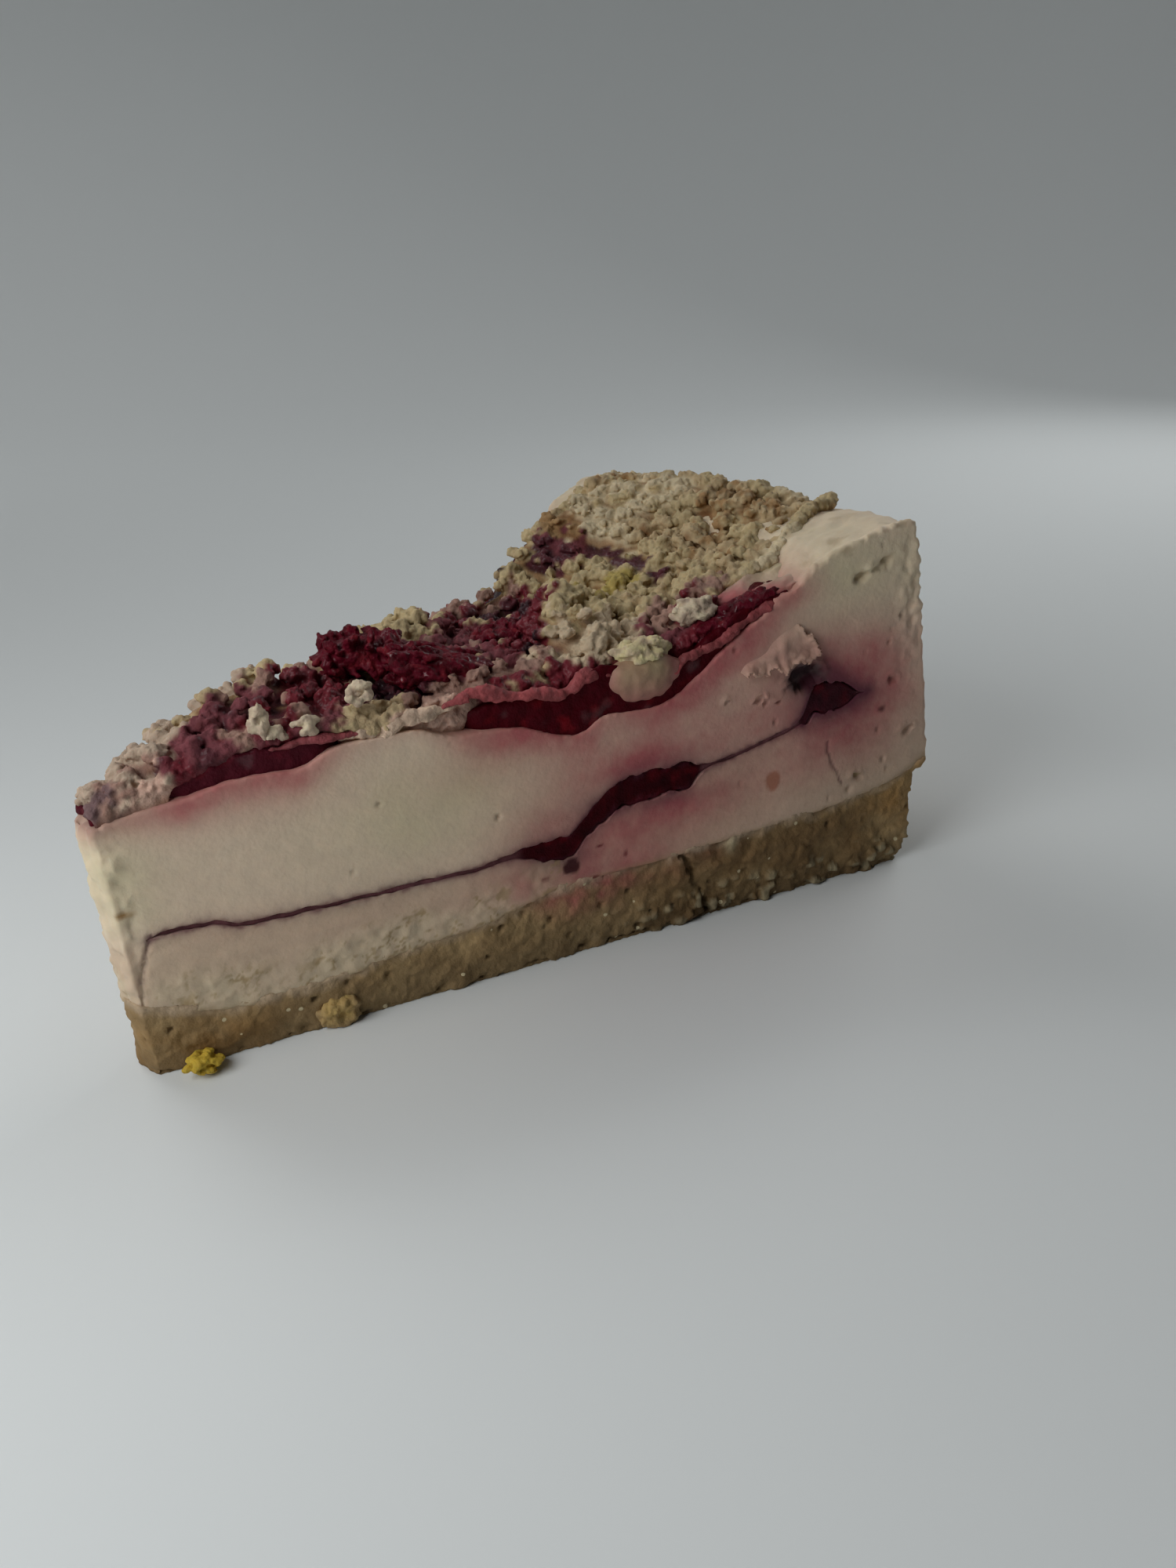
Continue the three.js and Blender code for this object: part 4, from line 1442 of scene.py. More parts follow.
@dataclass
class Flake:
    """Thin peeled skin of the near cut face, ragged and curled along its free edges."""

    left: float = 84.5
    top: float = 43.5
    length: float = 15.0
    depth: float = 12.0
    thickness: float = 0.35
    fold: float = 93.6
    right: Curve = Curve(((32, 99.3), (34.8, 98.9), (36.4, 98.3), (38.6, 96.3), (40.6, 94.7), (43, 92.4)))
    bottom: Curve = Curve((
        (85, 35), (87.5, 34.2), (90, 32.9), (92.2, 33.7), (93.6, 33), (95.2, 34.2), (97, 33.7), (99.5, 34.8)))
    noise: Noise = field(default_factory=lambda: Noise(61))

    def build(self) -> Piece:
        """Makes the flake.

        Returns:
            The finished mesh, painted.
        """
        bpy.ops.object.select_all(action="DESELECT")
        bpy.ops.mesh.primitive_grid_add(x_subdivisions=100, y_subdivisions=84, size=1)
        piece = bpy.context.object
        piece.name = "cream_flake"
        p = points_of(piece) * MM
        radius = self.left + (p[:, 0] + 0.5) * self.length
        height = self.top - (0.5 - p[:, 1]) * self.depth
        flat = np.stack([radius, 0 * radius, height], axis=1)
        ragged = 0.9 * self.noise.soft(flat, 1.7, 3)
        free = np.minimum(self.right(height) - radius, height - self.bottom(radius)) + ragged
        above = CAKE.cream(radius) - height
        inside = np.minimum(free, above - 1.4)
        left = smooth(92.5 - radius, 0, 3) * smooth(height - 35, 0, 1.5) + smooth(88.5 - radius, 0, 2)
        held = np.clip(left + smooth(5.5 - above, 0, 3), 0, 1)
        curl = 0.95 * np.exp(-np.maximum(free, 0) / 1.1) * smooth(39.5 - height, 0, 3)
        beside = radius - self.fold - 0.3 * self.noise.soft(flat, 4)
        fold = 0.4 * np.exp(-((beside / 0.7) ** 2)) * smooth(39 - height, 0, 3)
        lift = lerp(0.12 + curl + fold + 0.12 * self.noise.soft(flat, 2.2, 2), -0.6, held)
        out = np.array([-math.sin(HALF_ANGLE), -math.cos(HALF_ANGLE), 0])
        set_points(piece, place(radius, -np.ones_like(radius), height) + lift[:, None] * out)
        corners = np.array([poly.vertices[:] for poly in piece.data.polygons])
        outside = inside[corners].min(axis=1) < 0
        only(piece)
        bpy.ops.object.mode_set(mode="EDIT")
        bpy.ops.mesh.select_mode(type="FACE")
        bpy.ops.object.mode_set(mode="OBJECT")
        piece.data.polygons.foreach_set("select", outside)
        bpy.ops.object.mode_set(mode="EDIT")
        bpy.ops.mesh.delete(type="FACE")
        bpy.ops.mesh.select_all(action="SELECT")
        bpy.ops.mesh.normals_make_consistent(inside=False)
        bpy.ops.object.mode_set(mode="OBJECT")
        modify(piece, "SOLIDIFY", thickness=self.thickness * MM, offset=0)
        p = points_of(piece)
        radius, _, height = polar(p)
        free = np.minimum(self.right(height) - radius, height - self.bottom(radius))
        lit = lerp(0.1, 0.45, smooth(2.5 - free, 0, 2.5))
        tint = mix(Cheesecake().tint(p), lerp(Palette.CREAM_LOW, Palette.PINK, 0.3), lit)
        paint(piece, tint * (0.93 + 0.15 * self.noise.soft(p, 1.6, 2))[:, None], 0.0)
        return piece


class Kind(IntEnum):
    """Kinds of crumb, each one named for its colour in the palette."""

    TAN = 0
    STRAW = 1
    OLIVE = 2
    GREY_WHITE = 3
    RUST = 4
    CREAM_TOP = 5
    PINK_CREAM = 6
    ROSE_TAN = 7
    MAUVE = 8
    CRIMSON = 9
    PLUM = 10
    BLACK = 11
    GREY_TAN = 12
    DUSK = 13


KIND_COLOURS = np.array([getattr(Palette, kind.name) for kind in Kind])


@dataclass(frozen=True)
class Topping:
    """What lies where on the topping; later patches lie over earlier ones."""

    # Painted shade: the BLACK patches lie in the hollows of the relief table, over crumbs stained with jam, and the
    # three narrow PLUM patches at radius 88.8 to 91 lie in its grooves behind the heap.
    areas: tuple = (
        (Kind.GREY_TAN, 15.5, 0, 7, 6), (Kind.ROSE_TAN, 17, -2, 4, 2.5, 0.35),
        (Kind.DUSK, 10.9, -2.7, 1.8, 1.2, 0.95), (Kind.ROSE_TAN, 13.5, -3.4, 2.5, 1.2, 0.5),
        (Kind.PINK_CREAM, 17.5, -4, 1.8, 1.4, 0.7), (Kind.MAUVE, 31, -4, 11, 6, 0.9), (Kind.PLUM, 27, -3, 8, 4, 0.35),
        (Kind.CRIMSON, 29, -6, 9, 3, 0.35), (Kind.ROSE_TAN, 35, -3, 9, 6, 0.28), (Kind.CRIMSON, 39, -1.5, 6, 5, 0.8),
        (Kind.GREY_TAN, 27, 6, 7, 3.4, 0.95), (Kind.ROSE_TAN, 38, 7, 5, 2.6, 0.8), (Kind.PLUM, 47, -5.5, 6, 5.5),
        (Kind.BLACK, 46.5, -4.5, 3.5, 3.5, 0.6), (Kind.MAUVE, 57, -0.5, 7, 5.5, 0.95),
        (Kind.ROSE_TAN, 57, -1, 5, 4, 0.3), (Kind.STRAW, 57, 8, 6, 3.6), (Kind.MAUVE, 63, 6, 4, 5, 0.85),
        (Kind.TAN, 42, -9.5, 3, 2.4), (Kind.ROSE_TAN, 53, -11.5, 7, 2.4), (Kind.PINK_CREAM, 46, -12.8, 6, 1.3),
        (Kind.MAUVE, 56, -8.5, 4, 2, 0.7), (Kind.ROSE_TAN, 62, -10.5, 5, 3), (Kind.MAUVE, 62, -6, 4, 3.2, 0.85),
        (Kind.CRIMSON, 66, -16, 6, 2.6, 0.85), (Kind.CRIMSON, 58, -14, 5, 1.8, 0.7), (Kind.STRAW, 73, -6, 7.5, 7),
        (Kind.OLIVE, 76, -3, 3, 2.5, 0.5), (Kind.GREY_WHITE, 66.5, -10, 3.5, 4, 0.4),
        (Kind.GREY_WHITE, 73, -14, 7.5, 3, 0.85), (Kind.CRIMSON, 66.5, 1, 4, 6.5), (Kind.CRIMSON, 64, -6, 2.6, 3),
        (Kind.BLACK, 67.5, 1.5, 2.4, 4, 0.75), (Kind.BLACK, 64.5, -7.5, 1.2, 1.8, 0.9),
        (Kind.CRIMSON, 74, 12, 7.5, 4.5, 0.9), (Kind.PLUM, 73.5, 11.5, 6, 3.4, 0.6),
        (Kind.BLACK, 73, 11, 3, 1.8, 0.6), (Kind.ROSE_TAN, 72, 16.5, 8, 2.2, 0.7), (Kind.BLACK, 80, 20.5, 1.6, 1.6),
        (Kind.STRAW, 86, 4, 5.5, 12), (Kind.OLIVE, 85.5, -1, 2.6, 2.4, 0.7), (Kind.OLIVE, 90.5, 6, 1.6, 1.8, 0.8),
        (Kind.MAUVE, 89.5, 15, 4, 5, 0.7), (Kind.PLUM, 86.5, 15.5, 2.4, 3.2, 0.7),
        (Kind.PLUM, 91, 9.5, 1.2, 3.4, 0.7), (Kind.PLUM, 90.2, 2.5, 1.1, 3.4, 0.7),
        (Kind.PLUM, 88.8, -4.5, 1.1, 3.2, 0.7), (Kind.MAUVE, 81, -17.5, 4, 4.5, 0.9),
        (Kind.ROSE_TAN, 83, -14, 4, 2.4, 0.8), (Kind.CRIMSON, 85.5, -15.5, 2.2, 2.2), (Kind.CRIMSON, 86, -22, 4.5, 3),
        (Kind.CRIMSON, 80, -21.5, 6, 1.8, 0.7), (Kind.ROSE_TAN, 89, -15.5, 3, 1.6, 0.6),
        (Kind.RUST, 101, -8, 6, 7, 0.3), (Kind.CREAM_TOP, 96, 14, 5.5, 7, 0.65),
        (Kind.CREAM_TOP, 103.5, 9, 3, 5, 0.7), (Kind.CREAM_TOP, 109, 20, 4.5, 7, 0.6),
        (Kind.CREAM_TOP, 111, 2, 2, 14, 0.6), (Kind.CREAM_TOP, 98, -19.5, 5, 2, 0.7),
        (Kind.RUST, 92, 18.5, 2.6, 4.5, 0.75), (Kind.RUST, 105.5, 21, 3, 4, 0.5), (Kind.RUST, 104, -2, 4, 4, 0.3)
    )
    melts: tuple = patches(
        (96, 14, 7, 8, 0.85), (103.5, 9, 4, 6, 0.6), (109, 20, 5, 7, 0.7), (99, -18, 4, 3, 0.8),
        (104, -13, 7, 6, 0.55), (14, 0, 6, 6, 0.55), (27, 5, 7, 4, 0.35), (89.5, 15, 4, 5, 0.6), (56, 0, 6, 5, 0.45),
        (53, -11, 6, 2.6, 0.5)
    )
    relief: tuple = patches(
        (67.5, 1.5, 2.0, 3.8, -3.6), (64.5, -7.5, 1.5, 2.0, -2.8), (68.5, -14, 1.2, 1.8, -1.8),
        (73.5, 11, 4.5, 2.4, -2.6), (80, 20.5, 1.6, 1.8, -2.6), (46.5, -4.5, 4, 3.6, -1.6), (91, 9.5, 1.6, 4, -1.4),
        (90.2, 2.5, 1.5, 4, -1.4), (88.8, -4.5, 1.5, 4, -1.4), (57, 8, 5, 3.4, 0.9), (105, 0, 6, 14, 0.4),
        (26.5, 2, 2.6, 2.4, 1.5), (33, 2.5, 3, 2.4, 1.7), (18.5, 0, 2.6, 2.4, 1.1), (37.5, 1, 2.2, 2.4, 0.9),
        (13.5, -1.5, 3, 2.5, 0.9)
    )
    noise: Noise = Noise(71)

    def melt(self, radius: Array, share: Array) -> Array:
        """How far the crumbs are smeared flat, from 0 to 1."""
        return np.clip(sum(patch.soft(radius, share) for patch in self.melts), 0, 1)

    def level(self, radius: Array, share: Array) -> Array:
        """Mean top of the crumbs."""
        return CAKE.heap_top(radius, share) + sum(patch.soft(radius, share) for patch in self.relief)

    def kinds(self, rng: np.random.Generator, radius: Array, share: Array) -> Array:
        """Row of the colours for each grain.

        Args:
            rng: Source of chance.
            radius: Radius of each grain.
            share: Share of the half angle of each grain.

        Returns:
            Whole numbers, the values of Kind.
        """
        flat = place(radius, share, 0 * radius)
        ragged = 0.45 * self.noise.soft(flat, 4, 2)
        chance = 0.1 * rng.normal(size=len(radius))
        kind = np.where(self.noise.soft(flat, 5, 2) + chance < 0, Kind.TAN.value, Kind.STRAW.value)
        for index, (lying, *oval) in enumerate(self.areas):
            patch = Patch(*oval)
            inside = smooth(1.3 - patch.reach(radius, share) + ragged, 0, 0.45)
            luck = 0.5 + 0.8 * self.noise.soft(flat + 17 * index, 2.4, 2) + chance
            kind = np.where((inside > 0.05) & (luck < 1.2 * patch.amount * inside), lying.value, kind)
        return kind


TOPPING = Topping()


@dataclass
class CrumbField:
    """Part of the heap: a core, clumps on it, and grains on the clumps, grown together."""

    name: str
    start: float
    end: float
    seed: int
    clump_pitch: float = 2.4
    clump: tuple = (0.8, 1.75)
    grain: tuple = (0.26, 0.56)

    def build(self) -> Piece:
        """Makes this part of the heap.

        Returns:
            The finished mesh, painted.
        """
        rng = np.random.default_rng(self.seed)
        clumps, sizes = self._clumps(rng)
        centres, grains = self._grains(rng, clumps, sizes)
        squash = lerp(0.75, 1.2, rng.random((len(centres), 3))) * grains[:, None]
        inner = lumps("clumps", rng, clumps, sizes - 0.2, 0.05)
        piece = joined(self.name, lumps("grains", rng, centres, squash), inner,
                       swept("core", (40, 3, 60), self._core))
        even(piece, Remesh.CRUMB.value)
        roughen(piece, Noise(self.seed), 0.1, 0.5)
        self._paint(piece, rng, centres)
        return piece

    def _core(self, along: Array, share: Array, up: Array) -> Array:
        """Body under the clumps.

        Args:
            along: Shares of the way to the rim.
            share: Shares of the half angle.
            up: Shares of the way up.

        Returns:
            Rows of points.
        """
        radius = lerp(self.start, self.end, along)
        at = lerp(CAKE.crumb_near(radius), CAKE.crumb_far, away(share))
        low = CAKE.foot(radius, at) - 0.5
        sunk = lerp(1.5, 0.3, TOPPING.melt(radius, at))
        high = np.maximum(TOPPING.level(radius, at) - sunk, low + 0.7)
        return place(radius, at, lerp(low, high, up))

    def _clumps(self, rng: np.random.Generator) -> tuple:
        """Centres and half sizes of the clumps, flatter where the crumbs are smeared.

        Args:
            rng: Source of chance.

        Returns:
            Rows of centres and rows of half sizes.
        """
        rows = []
        for radius in np.arange(self.start + 0.8, self.end, self.clump_pitch):
            near = float(CAKE.crumb_near(radius)) + 0.5 / (radius * HALF_ANGLE)
            count = max(2, round((CAKE.crumb_far - near) * radius * HALF_ANGLE / self.clump_pitch))
            shares = near + (CAKE.crumb_far - near) * (np.arange(count) + lerp(0.15, 0.85, rng.random(count))) / count
            jitter = self.clump_pitch * (rng.random(count) - 0.5)
            rows.append(np.stack([np.clip(radius + jitter, self.start + 0.5, self.end - 0.5), shares], axis=1))
        radius, share = np.concatenate(rows).T
        melt = TOPPING.melt(radius, share)
        size = lerp(self.clump[0], self.clump[1], rng.random(len(radius)) ** 1.3)
        side = np.minimum(share - CAKE.crumb_near(radius), CAKE.crumb_far - share) * radius * HALF_ANGLE
        size = size * lerp(0.6, 1.0, smooth(side, 0, 2.5))
        tall = size * lerp(1.0, 0.45, melt)
        height = TOPPING.level(radius, share) - 0.72 * tall + (1 - melt) * 0.35 * rng.normal(size=len(radius))
        rows, sizes = self._side(rng)
        rows = np.concatenate([place(radius, share, height), rows])
        return rows, np.concatenate([np.stack([size, size, tall], axis=1), sizes])

    def _side(self, rng: np.random.Generator) -> tuple:
        """Centres and half sizes of the clumps on the near side.

        Args:
            rng: Source of chance.

        Returns:
            Rows of centres and rows of half sizes.
        """
        radius = np.repeat(np.arange(self.start + 0.5, self.end, 1.1), 2)
        share = CAKE.crumb_near(radius) + lerp(0.4, 0.9, rng.random(len(radius))) / (radius * HALF_ANGLE)
        low = CAKE.foot(radius, share) + 0.5
        high = np.maximum(TOPPING.level(radius, share) - 0.7, low + 0.1)
        size = lerp(0.7, 1.15, rng.random((len(radius), 1))) * np.ones(3)
        return place(radius, share, lerp(low, high, rng.random(len(radius)))), size

    def _grains(self, rng: np.random.Generator, clumps: Array, sizes: Array) -> tuple:
        """Centres and sizes of the grains on the upper side of each clump.

        Args:
            rng: Source of chance.
            clumps: Centres of the clumps.
            sizes: Half sizes of the clumps.

        Returns:
            Rows of centres and the sizes.
        """
        number = np.round(11 * sizes[:, 0] ** 2 + 5).astype(int)
        owner = np.repeat(np.arange(len(clumps)), number)
        way = rng.normal(size=(len(owner), 3))
        way[:, 2] = np.abs(way[:, 2]) - 0.25
        way /= np.linalg.norm(way, axis=1, keepdims=True)
        grain = lerp(self.grain[0], self.grain[1], rng.random(len(owner)) ** 1.6)
        centres = clumps[owner] + way * (sizes[owner] - 0.2 * grain[:, None])
        radius, share, _ = polar(centres)
        melt = TOPPING.melt(radius, share)
        inside = (radius > self.start - 0.4) & (radius < self.end + 0.4)
        inside &= (share > np.maximum(CAKE.crumb_near(radius) - 0.6 / (radius * HALF_ANGLE), -0.985)) & (share < 0.975)
        return centres[inside], (grain * lerp(1.0, 0.7, melt))[inside]

    def _paint(self, piece: Piece, rng: np.random.Generator, centres: Array) -> None:
        """Colours each point like its nearest grain, with painted shade deep between them.

        Args:
            piece: The mesh.
            rng: Source of chance.
            centres: Centres of the grains.
        """
        radius, share, _ = polar(centres)
        kinds = TOPPING.kinds(rng, radius, share)
        broad = 1 + 0.16 * TOPPING.noise.soft(centres, 3.5, 2)
        colours = KIND_COLOURS[kinds] * lerp(0.86, 1.14, rng.random((len(kinds), 1))) * broad[:, None]
        tree = kdtree.KDTree(len(centres))
        for index, centre in enumerate(centres):
            tree.insert(centre, index)
        tree.balance()
        p = points_of(piece)
        found = [tree.find(point)[1:] for point in p]
        nearest = np.array([index for index, _ in found])
        # Painted shade: points far from every grain's centre, deep between the grains, are painted darker and browner.
        painted_gap_shade = smooth(np.array([distance for _, distance in found]), 0.55, 1.3)
        shade = mix(np.ones(3), np.array([0.6, 0.45, 0.36]), painted_gap_shade)
        stained = np.isin(kinds[nearest], (Kind.CRIMSON, Kind.PLUM, Kind.BLACK))
        paint(piece, blended(piece, colours[nearest] * shade, 4), np.where(stained, 0.35, 0.0))


@dataclass
class FruitPiece:
    """Piece of strawberry lying in the heap: a core with lumps or strands grown on it."""

    name: str
    radius: float
    share: float
    height: float
    half: tuple
    seed: int
    lumps: int = 130
    lump: tuple = (0.55, 0.55, 0.6)
    tilt: float = 0.0
    wet: float = 0.3
    core: float = 0.82
    turned: bool = False

    def build(self) -> Piece:
        """Makes the piece.

        Returns:
            The finished mesh, painted.
        """
        rng = np.random.default_rng(self.seed)
        noise = Noise(self.seed)
        half, number = np.array(self.half), self.lumps
        way = rng.normal(size=(number, 3))
        way /= np.linalg.norm(way, axis=1, keepdims=True)
        way = np.sign(way) * np.abs(way) ** 0.65
        sizes = np.array(self.lump) * lerp(0.6, 1.4, rng.random((number, 1))) * lerp(0.8, 1.2, rng.random((number, 3)))
        centres = way * (half - 0.5 * sizes) * lerp(0.88, 1.06, rng.random((number, 1)))
        grown = lumps(self.name, rng, centres, sizes, 0.1, 3, turned=self.turned)
        core = lumps("core", rng, np.zeros((1, 3)), half[None] * self.core, 0.0, 4, turned=False)
        piece = joined(self.name, core, grown)
        turn = Matrix.Rotation(-HALF_ANGLE, 3, "Z") @ Matrix.Rotation(self.tilt, 3, "Y")
        centre = place(np.array(self.radius), np.array(self.share), np.array(self.height))
        set_points(piece, points_of(piece) @ np.array(turn).T + centre)
        even(piece, Remesh.FINE.value)
        roughen(piece, noise, 0.25, 0.9, 3)
        p = points_of(piece)
        # Painted highlights: lighter red glints on the fruit, mixed in by noise.
        painted_glint = smooth(noise.soft(p, 1.6, 2), 0.1, 0.7)
        tint = mix(Palette.FRUIT, Palette.FRUIT_GLOW, 0.5 * painted_glint)
        tint = mix(tint, Palette.JAM, 0.8 * smooth(noise.soft(p + 30, 2.2, 2), 0.0, 0.5))
        paint(piece, tint, self.wet * smooth(noise.soft(p + 60, 1.5, 2), 0.1, 0.5))
        return piece


@dataclass
class Blob:
    """Rounded lump of one colour, with finer lumps on it."""

    name: str
    radius: float
    share: float
    height: float
    half: tuple
    seed: int
    low: Array
    high: Array
    dents: float = 0.16
    grain: float = 1.0
    count: int = 1
    parts: tuple = ()
    wet: float = 0.15
    flat: float = 1.0

    def build(self) -> Piece:
        """Makes the lump, from one ball or from several grown together.

        Returns:
            The finished mesh, painted.
        """
        rng = np.random.default_rng(self.seed)
        noise = Noise(self.seed)
        centre = place(np.array(self.radius), np.array(self.share), np.array(self.height))
        shifts, scales = np.zeros((1, 3)), np.ones((1, 1))
        if self.parts:
            shifts, scales = np.array(self.parts)[:, :3], np.array(self.parts)[:, 3:]
        elif self.count > 1:
            way = rng.normal(size=(self.count, 3))
            shifts = way / np.linalg.norm(way, axis=1, keepdims=True) * 0.8 * rng.random((self.count, 1)) ** 0.4
            scales = lerp(0.26, 0.46, rng.random((self.count, 1))) * (12 / max(self.count, 12)) ** 0.33
        half = np.array(self.half)
        rounded = self.count == 1
        piece = lumps(self.name, rng, shifts * half, scales * half, 0.0 if rounded else 0.12,
                      4 if rounded else 2, turned=False)
        p = points_of(piece)
        p[:, 2] = np.where(p[:, 2] > 0, p[:, 2] * self.flat, p[:, 2])
        set_points(piece, p @ np.array(Matrix.Rotation(-HALF_ANGLE, 3, "Z")).T + centre)
        even(piece, Remesh.FINE.value)
        push(piece, self.dents * noise.soft(points_of(piece), self.grain, 2), floor=0.02)
        p = points_of(piece)
        share = smooth(noise.soft(p, 2 * self.grain, 2), -0.6, 0.6)
        if self.parts:
            share = (0.6 + 0.4 * share) * smooth(1.0 - np.abs((p - centre) @ AROUND / half[0] + 0.12), 0, 0.6)
            share *= smooth(p[:, 2] - centre[2], -half[2], 0)
        paint(piece, mix(self.low, self.high, share), self.wet)
        return piece


@dataclass
class Slice:
    """The whole slice."""

    finishes: Finishes = field(default_factory=Finishes)

    def build(self) -> None:
        """Builds every piece in order, from the crust up."""
        f = self.finishes
        finish_piece(Crust().build(), f.crust, Slot.CRUST, "crust")
        finish_piece(Cheesecake().build(), f.cream, Slot.CREAM, "cheesecake")
        finish_piece(Seam().build(), f.jam, Slot.SAUCE, "strawberry_seam")
        finish_piece(Sauce().build(), f.jam, Slot.SAUCE, "strawberry_sauce")
        finish_piece(Smear().build(), f.cream, Slot.CREAM)
        finish_piece(Flake().build(), f.cream, Slot.CREAM)
        for lip in self._lips():
            finish_piece(lip.build(), f.crumb, Slot.CRUMB)
        for crumbs in self._crumbs():
            finish_piece(crumbs.build(), f.crumb, Slot.CRUMB, "crumb_topping")
        for index, fruit in enumerate(self._fruit()):
            finish_piece(fruit.build(), f.fruit, Slot.FRUIT, f"strawberry_piece_{index + 1}")
        finish_piece(self._lump().build(), f.cream, Slot.CREAM, "cream_lump")
        for crumb in self._loose_crumbs():
            finish_piece(crumb.build(), f.crumb, Slot.CRUMB)

    def _lips(self) -> list:
        """Lips along the near edge.

        Returns:
            The lips, from the tip to the rim.
        """
        return [
            Lip("lip_tip", ((29.5, 36.7), (32, 36.8), (35, 36.7), (38, 36.4), (41, 36.4)),
                401, colour=lerp(Palette.ROSE, Palette.MAUVE, 0.5), half=(0.9, 0.45)),
            Lip("lip_pale", ((37, 36.3), (40.2, 36.1), (41.5, 35.3), (42.8, 35.9), (44, 36.6), (46.5, 37),
                             (48.7, 36.9), (50.5, 37.3)),
                402, colour=lerp(Palette.CREAM_LOW, Palette.PINK, 0.12) * 0.95, half=(1.1, 0.85)),
            Lip("lip_middle", ((49, 36.9), (51, 37.8), (52.5, 38.3), (54.5, 37.9), (57, 37.1), (60, 36.8), (62, 36),
                               (63.5, 35.8), (65, 36.6), (67, 37.4), (70, 37.2)), 403, half=(1.0, 0.85)),
            Lip("lip_rim", ((76.5, 34.3), (79.5, 36.8), (82.6, 37.9), (85.3, 38.8), (88.1, 40.2), (91, 41.4),
                            (94, 42.4)), 404, half=(1.0, 0.8)),
        ]

    def _crumbs(self) -> list:
        """Parts of the heap from the tip to the rim.

        Returns:
            The parts, which overlap a little.
        """
        return [
            CrumbField("crumbs_tip", 10.8, 30, 101),
            CrumbField("crumbs_left", 29.6, 48, 102),
            CrumbField("crumbs_middle", 47.6, 64, 103),
            CrumbField("crumbs_heap", 63.6, 80, 104),
            CrumbField("crumbs_back", 79.6, 96, 105),
            CrumbField("crumbs_rim", 95.6, 112.8, 106),
        ]

    def _fruit(self) -> list:
        """Strawberry pieces.

        Returns:
            The pieces, in the order of their nodes.
        """
        return [
            FruitPiece("strawberry_piece_1", 45.8, 0.12, 40.9, (5.4, 3.6, 2.5), 201, lumps=90,
                       lump=(1.1, 0.6, 0.4), tilt=0.12, core=0.86, turned=True),
            FruitPiece("strawberry_piece_2", 52, -0.42, 39.0, (6.6, 3.9, 2.7), 202, lumps=110,
                       lump=(1.7, 0.5, 0.45), tilt=0.3, wet=1.0, core=0.9),
            FruitPiece("strawberry_piece_3", 66.5, 0.08, 36.9, (4.2, 3.4, 2.4), 203),
            FruitPiece("strawberry_piece_4", 88.3, -0.9, 41.0, (5.6, 1.9, 1.3), 204, lumps=40,
                       lump=(1.4, 0.6, 0.5), tilt=-0.35, wet=0.9),
        ]

    def _lump(self) -> Blob:
        """Lump of cream over the near edge.

        Returns:
            The lump.
        """
        return Blob("cream_lump", 74.3, -0.955, 36.9, (4.9, 1.9, 4.4), 301, dents=0.35, grain=2.6, flat=0.4,
                    low=lerp(Palette.ROSE_TAN, Palette.PINK, 0.4), high=Palette.LUMP,
                    parts=((0, 0, 0, 1, 1, 1), (0.68, 0.1, -0.1, 0.5, 0.8, 0.5)))

    def _loose_crumbs(self) -> list:
        """Pale crumbs on the heap, and the crumbs at the foot.

        Returns:
            The crumbs.
        """
        white = dict(low=Palette.GREY_TAN, high=Palette.WHITE * 0.93)
        return [
            Blob("pale_cap", 74.8, -0.92, 38.8, (4.7, 2.7, 2.1), 302, count=120, low=Palette.GREY_WHITE,
                 high=Palette.YELLOW_WHITE, grain=0.6),
            Blob("pale_crumb_square", 83.6, -0.82, 41.6, (3.6, 2.6, 2.3), 303, count=80, grain=0.6, **white),
            Blob("pale_crumb_1", 29.0, -0.85, 39.4, (1.3, 1.2, 2.5), 304, count=26, grain=0.6, **white),
            Blob("pale_crumb_2", 30.4, -0.92, 38.1, (1.5, 1.0, 1.2), 309, count=16, grain=0.6, **white),
            Blob("pale_crumb_3", 33.8, -0.9, 38.5, (1.9, 1.2, 1.3), 305, count=20, grain=0.6, **white),
            Blob("pale_crumb_4", 40.2, -0.8, 40.4, (2.0, 1.4, 1.7), 306, count=26, grain=0.6, **white),
            Blob("butter_crumb", 15.5, -1.4, 1.6, (2.7, 2.2, 1.6), 307, low=Palette.BUTTER * 0.8,
                 high=Palette.BUTTER, count=60, dents=0.25, wet=0.1),
            Blob("crust_flap", 31.8, -1.02, 1.9, (2.7, 1.3, 2.1), 308, low=Palette.CRUST,
                 high=lerp(Palette.CRUST, Palette.BUTTER, 0.25) * 1.1, dents=0.45, grain=1.1, wet=0.1,
                 parts=((-0.4, 0, -0.1, 0.6, 0.9, 0.8), (0.35, 0, 0.3, 0.6, 0.9, 0.7), (0.3, 0, -0.5, 0.65, 0.8, 0.5),
                        (-0.2, 0, 0.5, 0.5, 0.8, 0.45))),
        ]


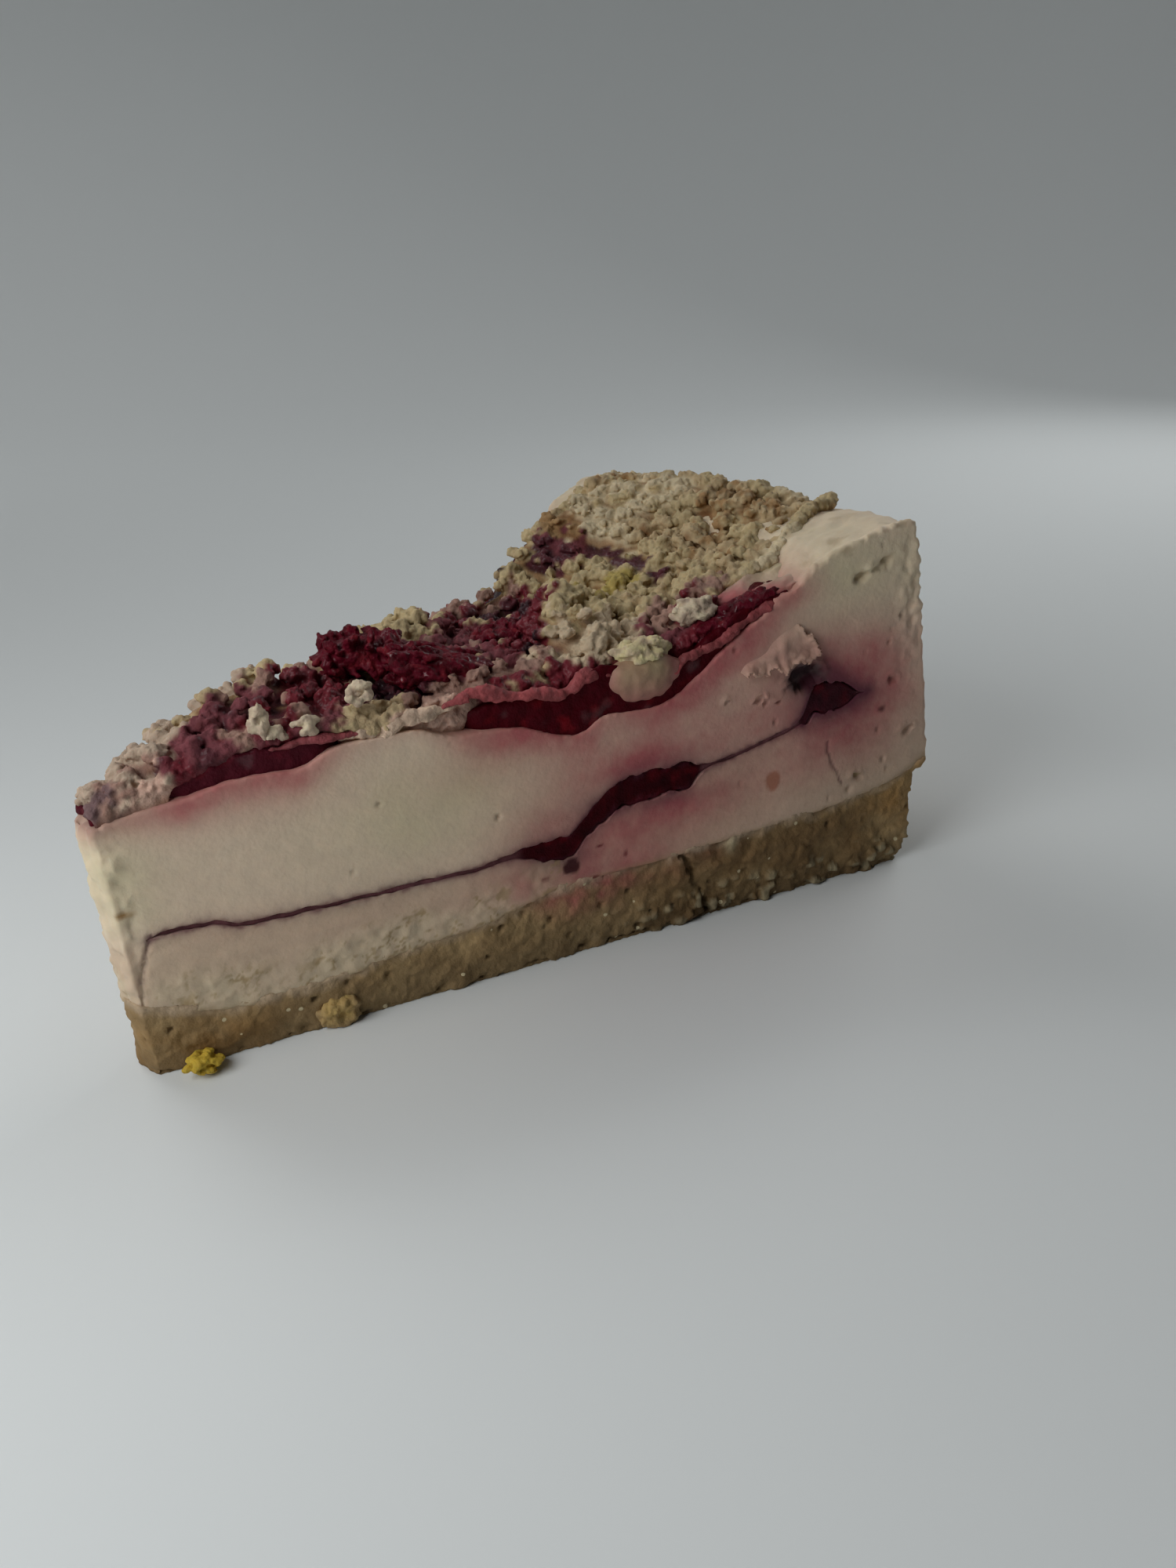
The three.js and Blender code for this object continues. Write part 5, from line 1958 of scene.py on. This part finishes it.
@dataclass
class Stage:
    """Plain sweep, soft studio light and the camera of the photograph."""

    focal: float = 1463 / 2000 * 36
    eye: tuple = (-77.3, -118.1, 84.6)
    yaw: float = math.radians(38.27)
    pitch: float = math.radians(25.54)
    roll: float = math.radians(-3.60)
    front: float = -900.0
    back: float = 1500.0
    half_width: float = 1500.0
    bend_start: float = 420.0
    bend: float = 260.0
    lamps: tuple = (
        ("far_left", (0.65, -0.6, 0.8), (0, 0, 0.02), 0.5, 1.96),
        ("back_left", (0.45, -0.5, 0.6), (0, 0, 0.02), 0.5, 1.0),
        ("back_right", (0.45, 0.5, 0.6), (0, 0, 0.02), 0.5, 0.88),
        ("near_right", (0.2756, 0.2756, 0.225), (0, 0, 0.02), 0.25, 0.27),
        ("front_left", (-0.1354, -0.1354, 0.1607), (0, 0, 0.02), 0.15, 0.31),
        ("front", (-0.228, 0, 0.1), (-0.342, 0, 0), 0.15, 0.2),
    )

    def build(self) -> None:
        """Makes the floor, the lights and the camera."""
        self._floor()
        self._lights()
        self._camera()

    def _placed(self, forward: Array, right: Array, up: Array) -> Array:
        """Places by their distances as the camera sees them, level with the floor.

        Args:
            forward: Distances away from the camera.
            right: Distances to its right.
            up: Heights.

        Returns:
            Rows of points.
        """
        way = np.array([math.sin(self.yaw), math.cos(self.yaw), 0])
        return np.multiply.outer(forward, way) + np.multiply.outer(right, (way[1], -way[0], 0)) + \
            np.multiply.outer(up, (0, 0, 1))

    def _forward(self) -> Array:
        """Direction that the camera looks in."""
        return np.array([math.sin(self.yaw) * math.cos(self.pitch), math.cos(self.yaw) * math.cos(self.pitch),
                         -math.sin(self.pitch)])

    def _floor(self) -> None:
        """Floor that rises behind the slice in a soft curve."""
        bpy.ops.object.select_all(action="DESELECT")
        bpy.ops.mesh.primitive_grid_add(x_subdivisions=4, y_subdivisions=60, size=2)
        floor = bpy.context.object
        floor.name = "floor"
        p = points_of(floor) * MM
        run = lerp(self.front, self.back, (p[:, 1] + 1) / 2)
        quarter = math.pi / 2
        past = np.maximum(run - self.bend_start, 0)
        turned = np.minimum(past / (self.bend * quarter), 1) * quarter
        forward = np.minimum(run, self.bend_start) + self.bend * np.sin(turned)
        up = self.bend * (1 - np.cos(turned)) + np.maximum(past - self.bend * quarter, 0)
        set_points(floor, self._placed(forward, p[:, 0] * self.half_width, up - 0.02))
        floor.data.shade_smooth()
        material = bpy.data.materials.new("floor")
        material.use_nodes = True
        shader = material.node_tree.nodes["Principled BSDF"]
        shader.inputs["Base Color"].default_value = (*Palette.FLOOR, 1)
        shader.inputs["Roughness"].default_value = 0.85
        floor.data.materials.append(material)

    def _light(self, name: str, at: Array, to: Array, size: float, power: float) -> None:
        """Square area light at one place that looks to another.

        Args:
            name: Name of the new object.
            at: Where it stands.
            to: Where it looks.
            size: Length of its sides.
            power: Power in watts.
        """
        light = bpy.data.lights.new(name, "AREA")
        light.size = size
        light.energy = power
        light.color = (0.98, 1.0, 1.0)
        lamp = bpy.data.objects.new(name, light)
        bpy.context.scene.collection.objects.link(lamp)
        lamp.location = Vector(at)
        lamp.rotation_euler = (Vector(to) - Vector(at)).to_track_quat("-Z", "Y").to_euler()
        lamp.visible_camera = False

    def _lights(self) -> None:
        """Soft light from above and behind, and a weak one from the left."""
        for name, at, to, size, power in self.lamps:
            self._light(name, self._placed(*at), self._placed(*to), size, power)
        world = bpy.data.worlds.new("room")
        bpy.context.scene.world = world
        world.use_nodes = True
        background = world.node_tree.nodes["Background"]
        background.inputs["Color"].default_value = (0.86, 0.93, 1.0, 1)
        background.inputs["Strength"].default_value = 0.02

    def _camera(self) -> None:
        """Camera of the photograph, which is 1500 by 2000 pixels."""
        forward = self._forward()
        level = self._placed(0, 1, 0)
        above = np.cross(level, forward)
        right = level * math.cos(self.roll) + above * math.sin(self.roll)
        up = -level * math.sin(self.roll) + above * math.cos(self.roll)
        lens = bpy.data.cameras.new("camera")
        lens.lens = self.focal
        lens.sensor_width = 36
        lens.clip_start = 0.01
        lens.clip_end = 10
        camera = bpy.data.objects.new("camera", lens)
        bpy.context.scene.collection.objects.link(camera)
        turn = np.column_stack([right, up, -forward, np.array(self.eye) * MM])
        camera.matrix_world = Matrix([*turn, (0, 0, 0, 1)])
        scene = bpy.context.scene
        scene.camera = camera
        scene.view_settings.view_transform = "Standard"


def main() -> None:
    """Builds the slice and its stage."""
    logging.basicConfig(level=logging.INFO, format="%(name)s: %(message)s")
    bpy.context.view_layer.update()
    Slice().build()
    Stage().build()


if __name__ == "__main__":
    main()
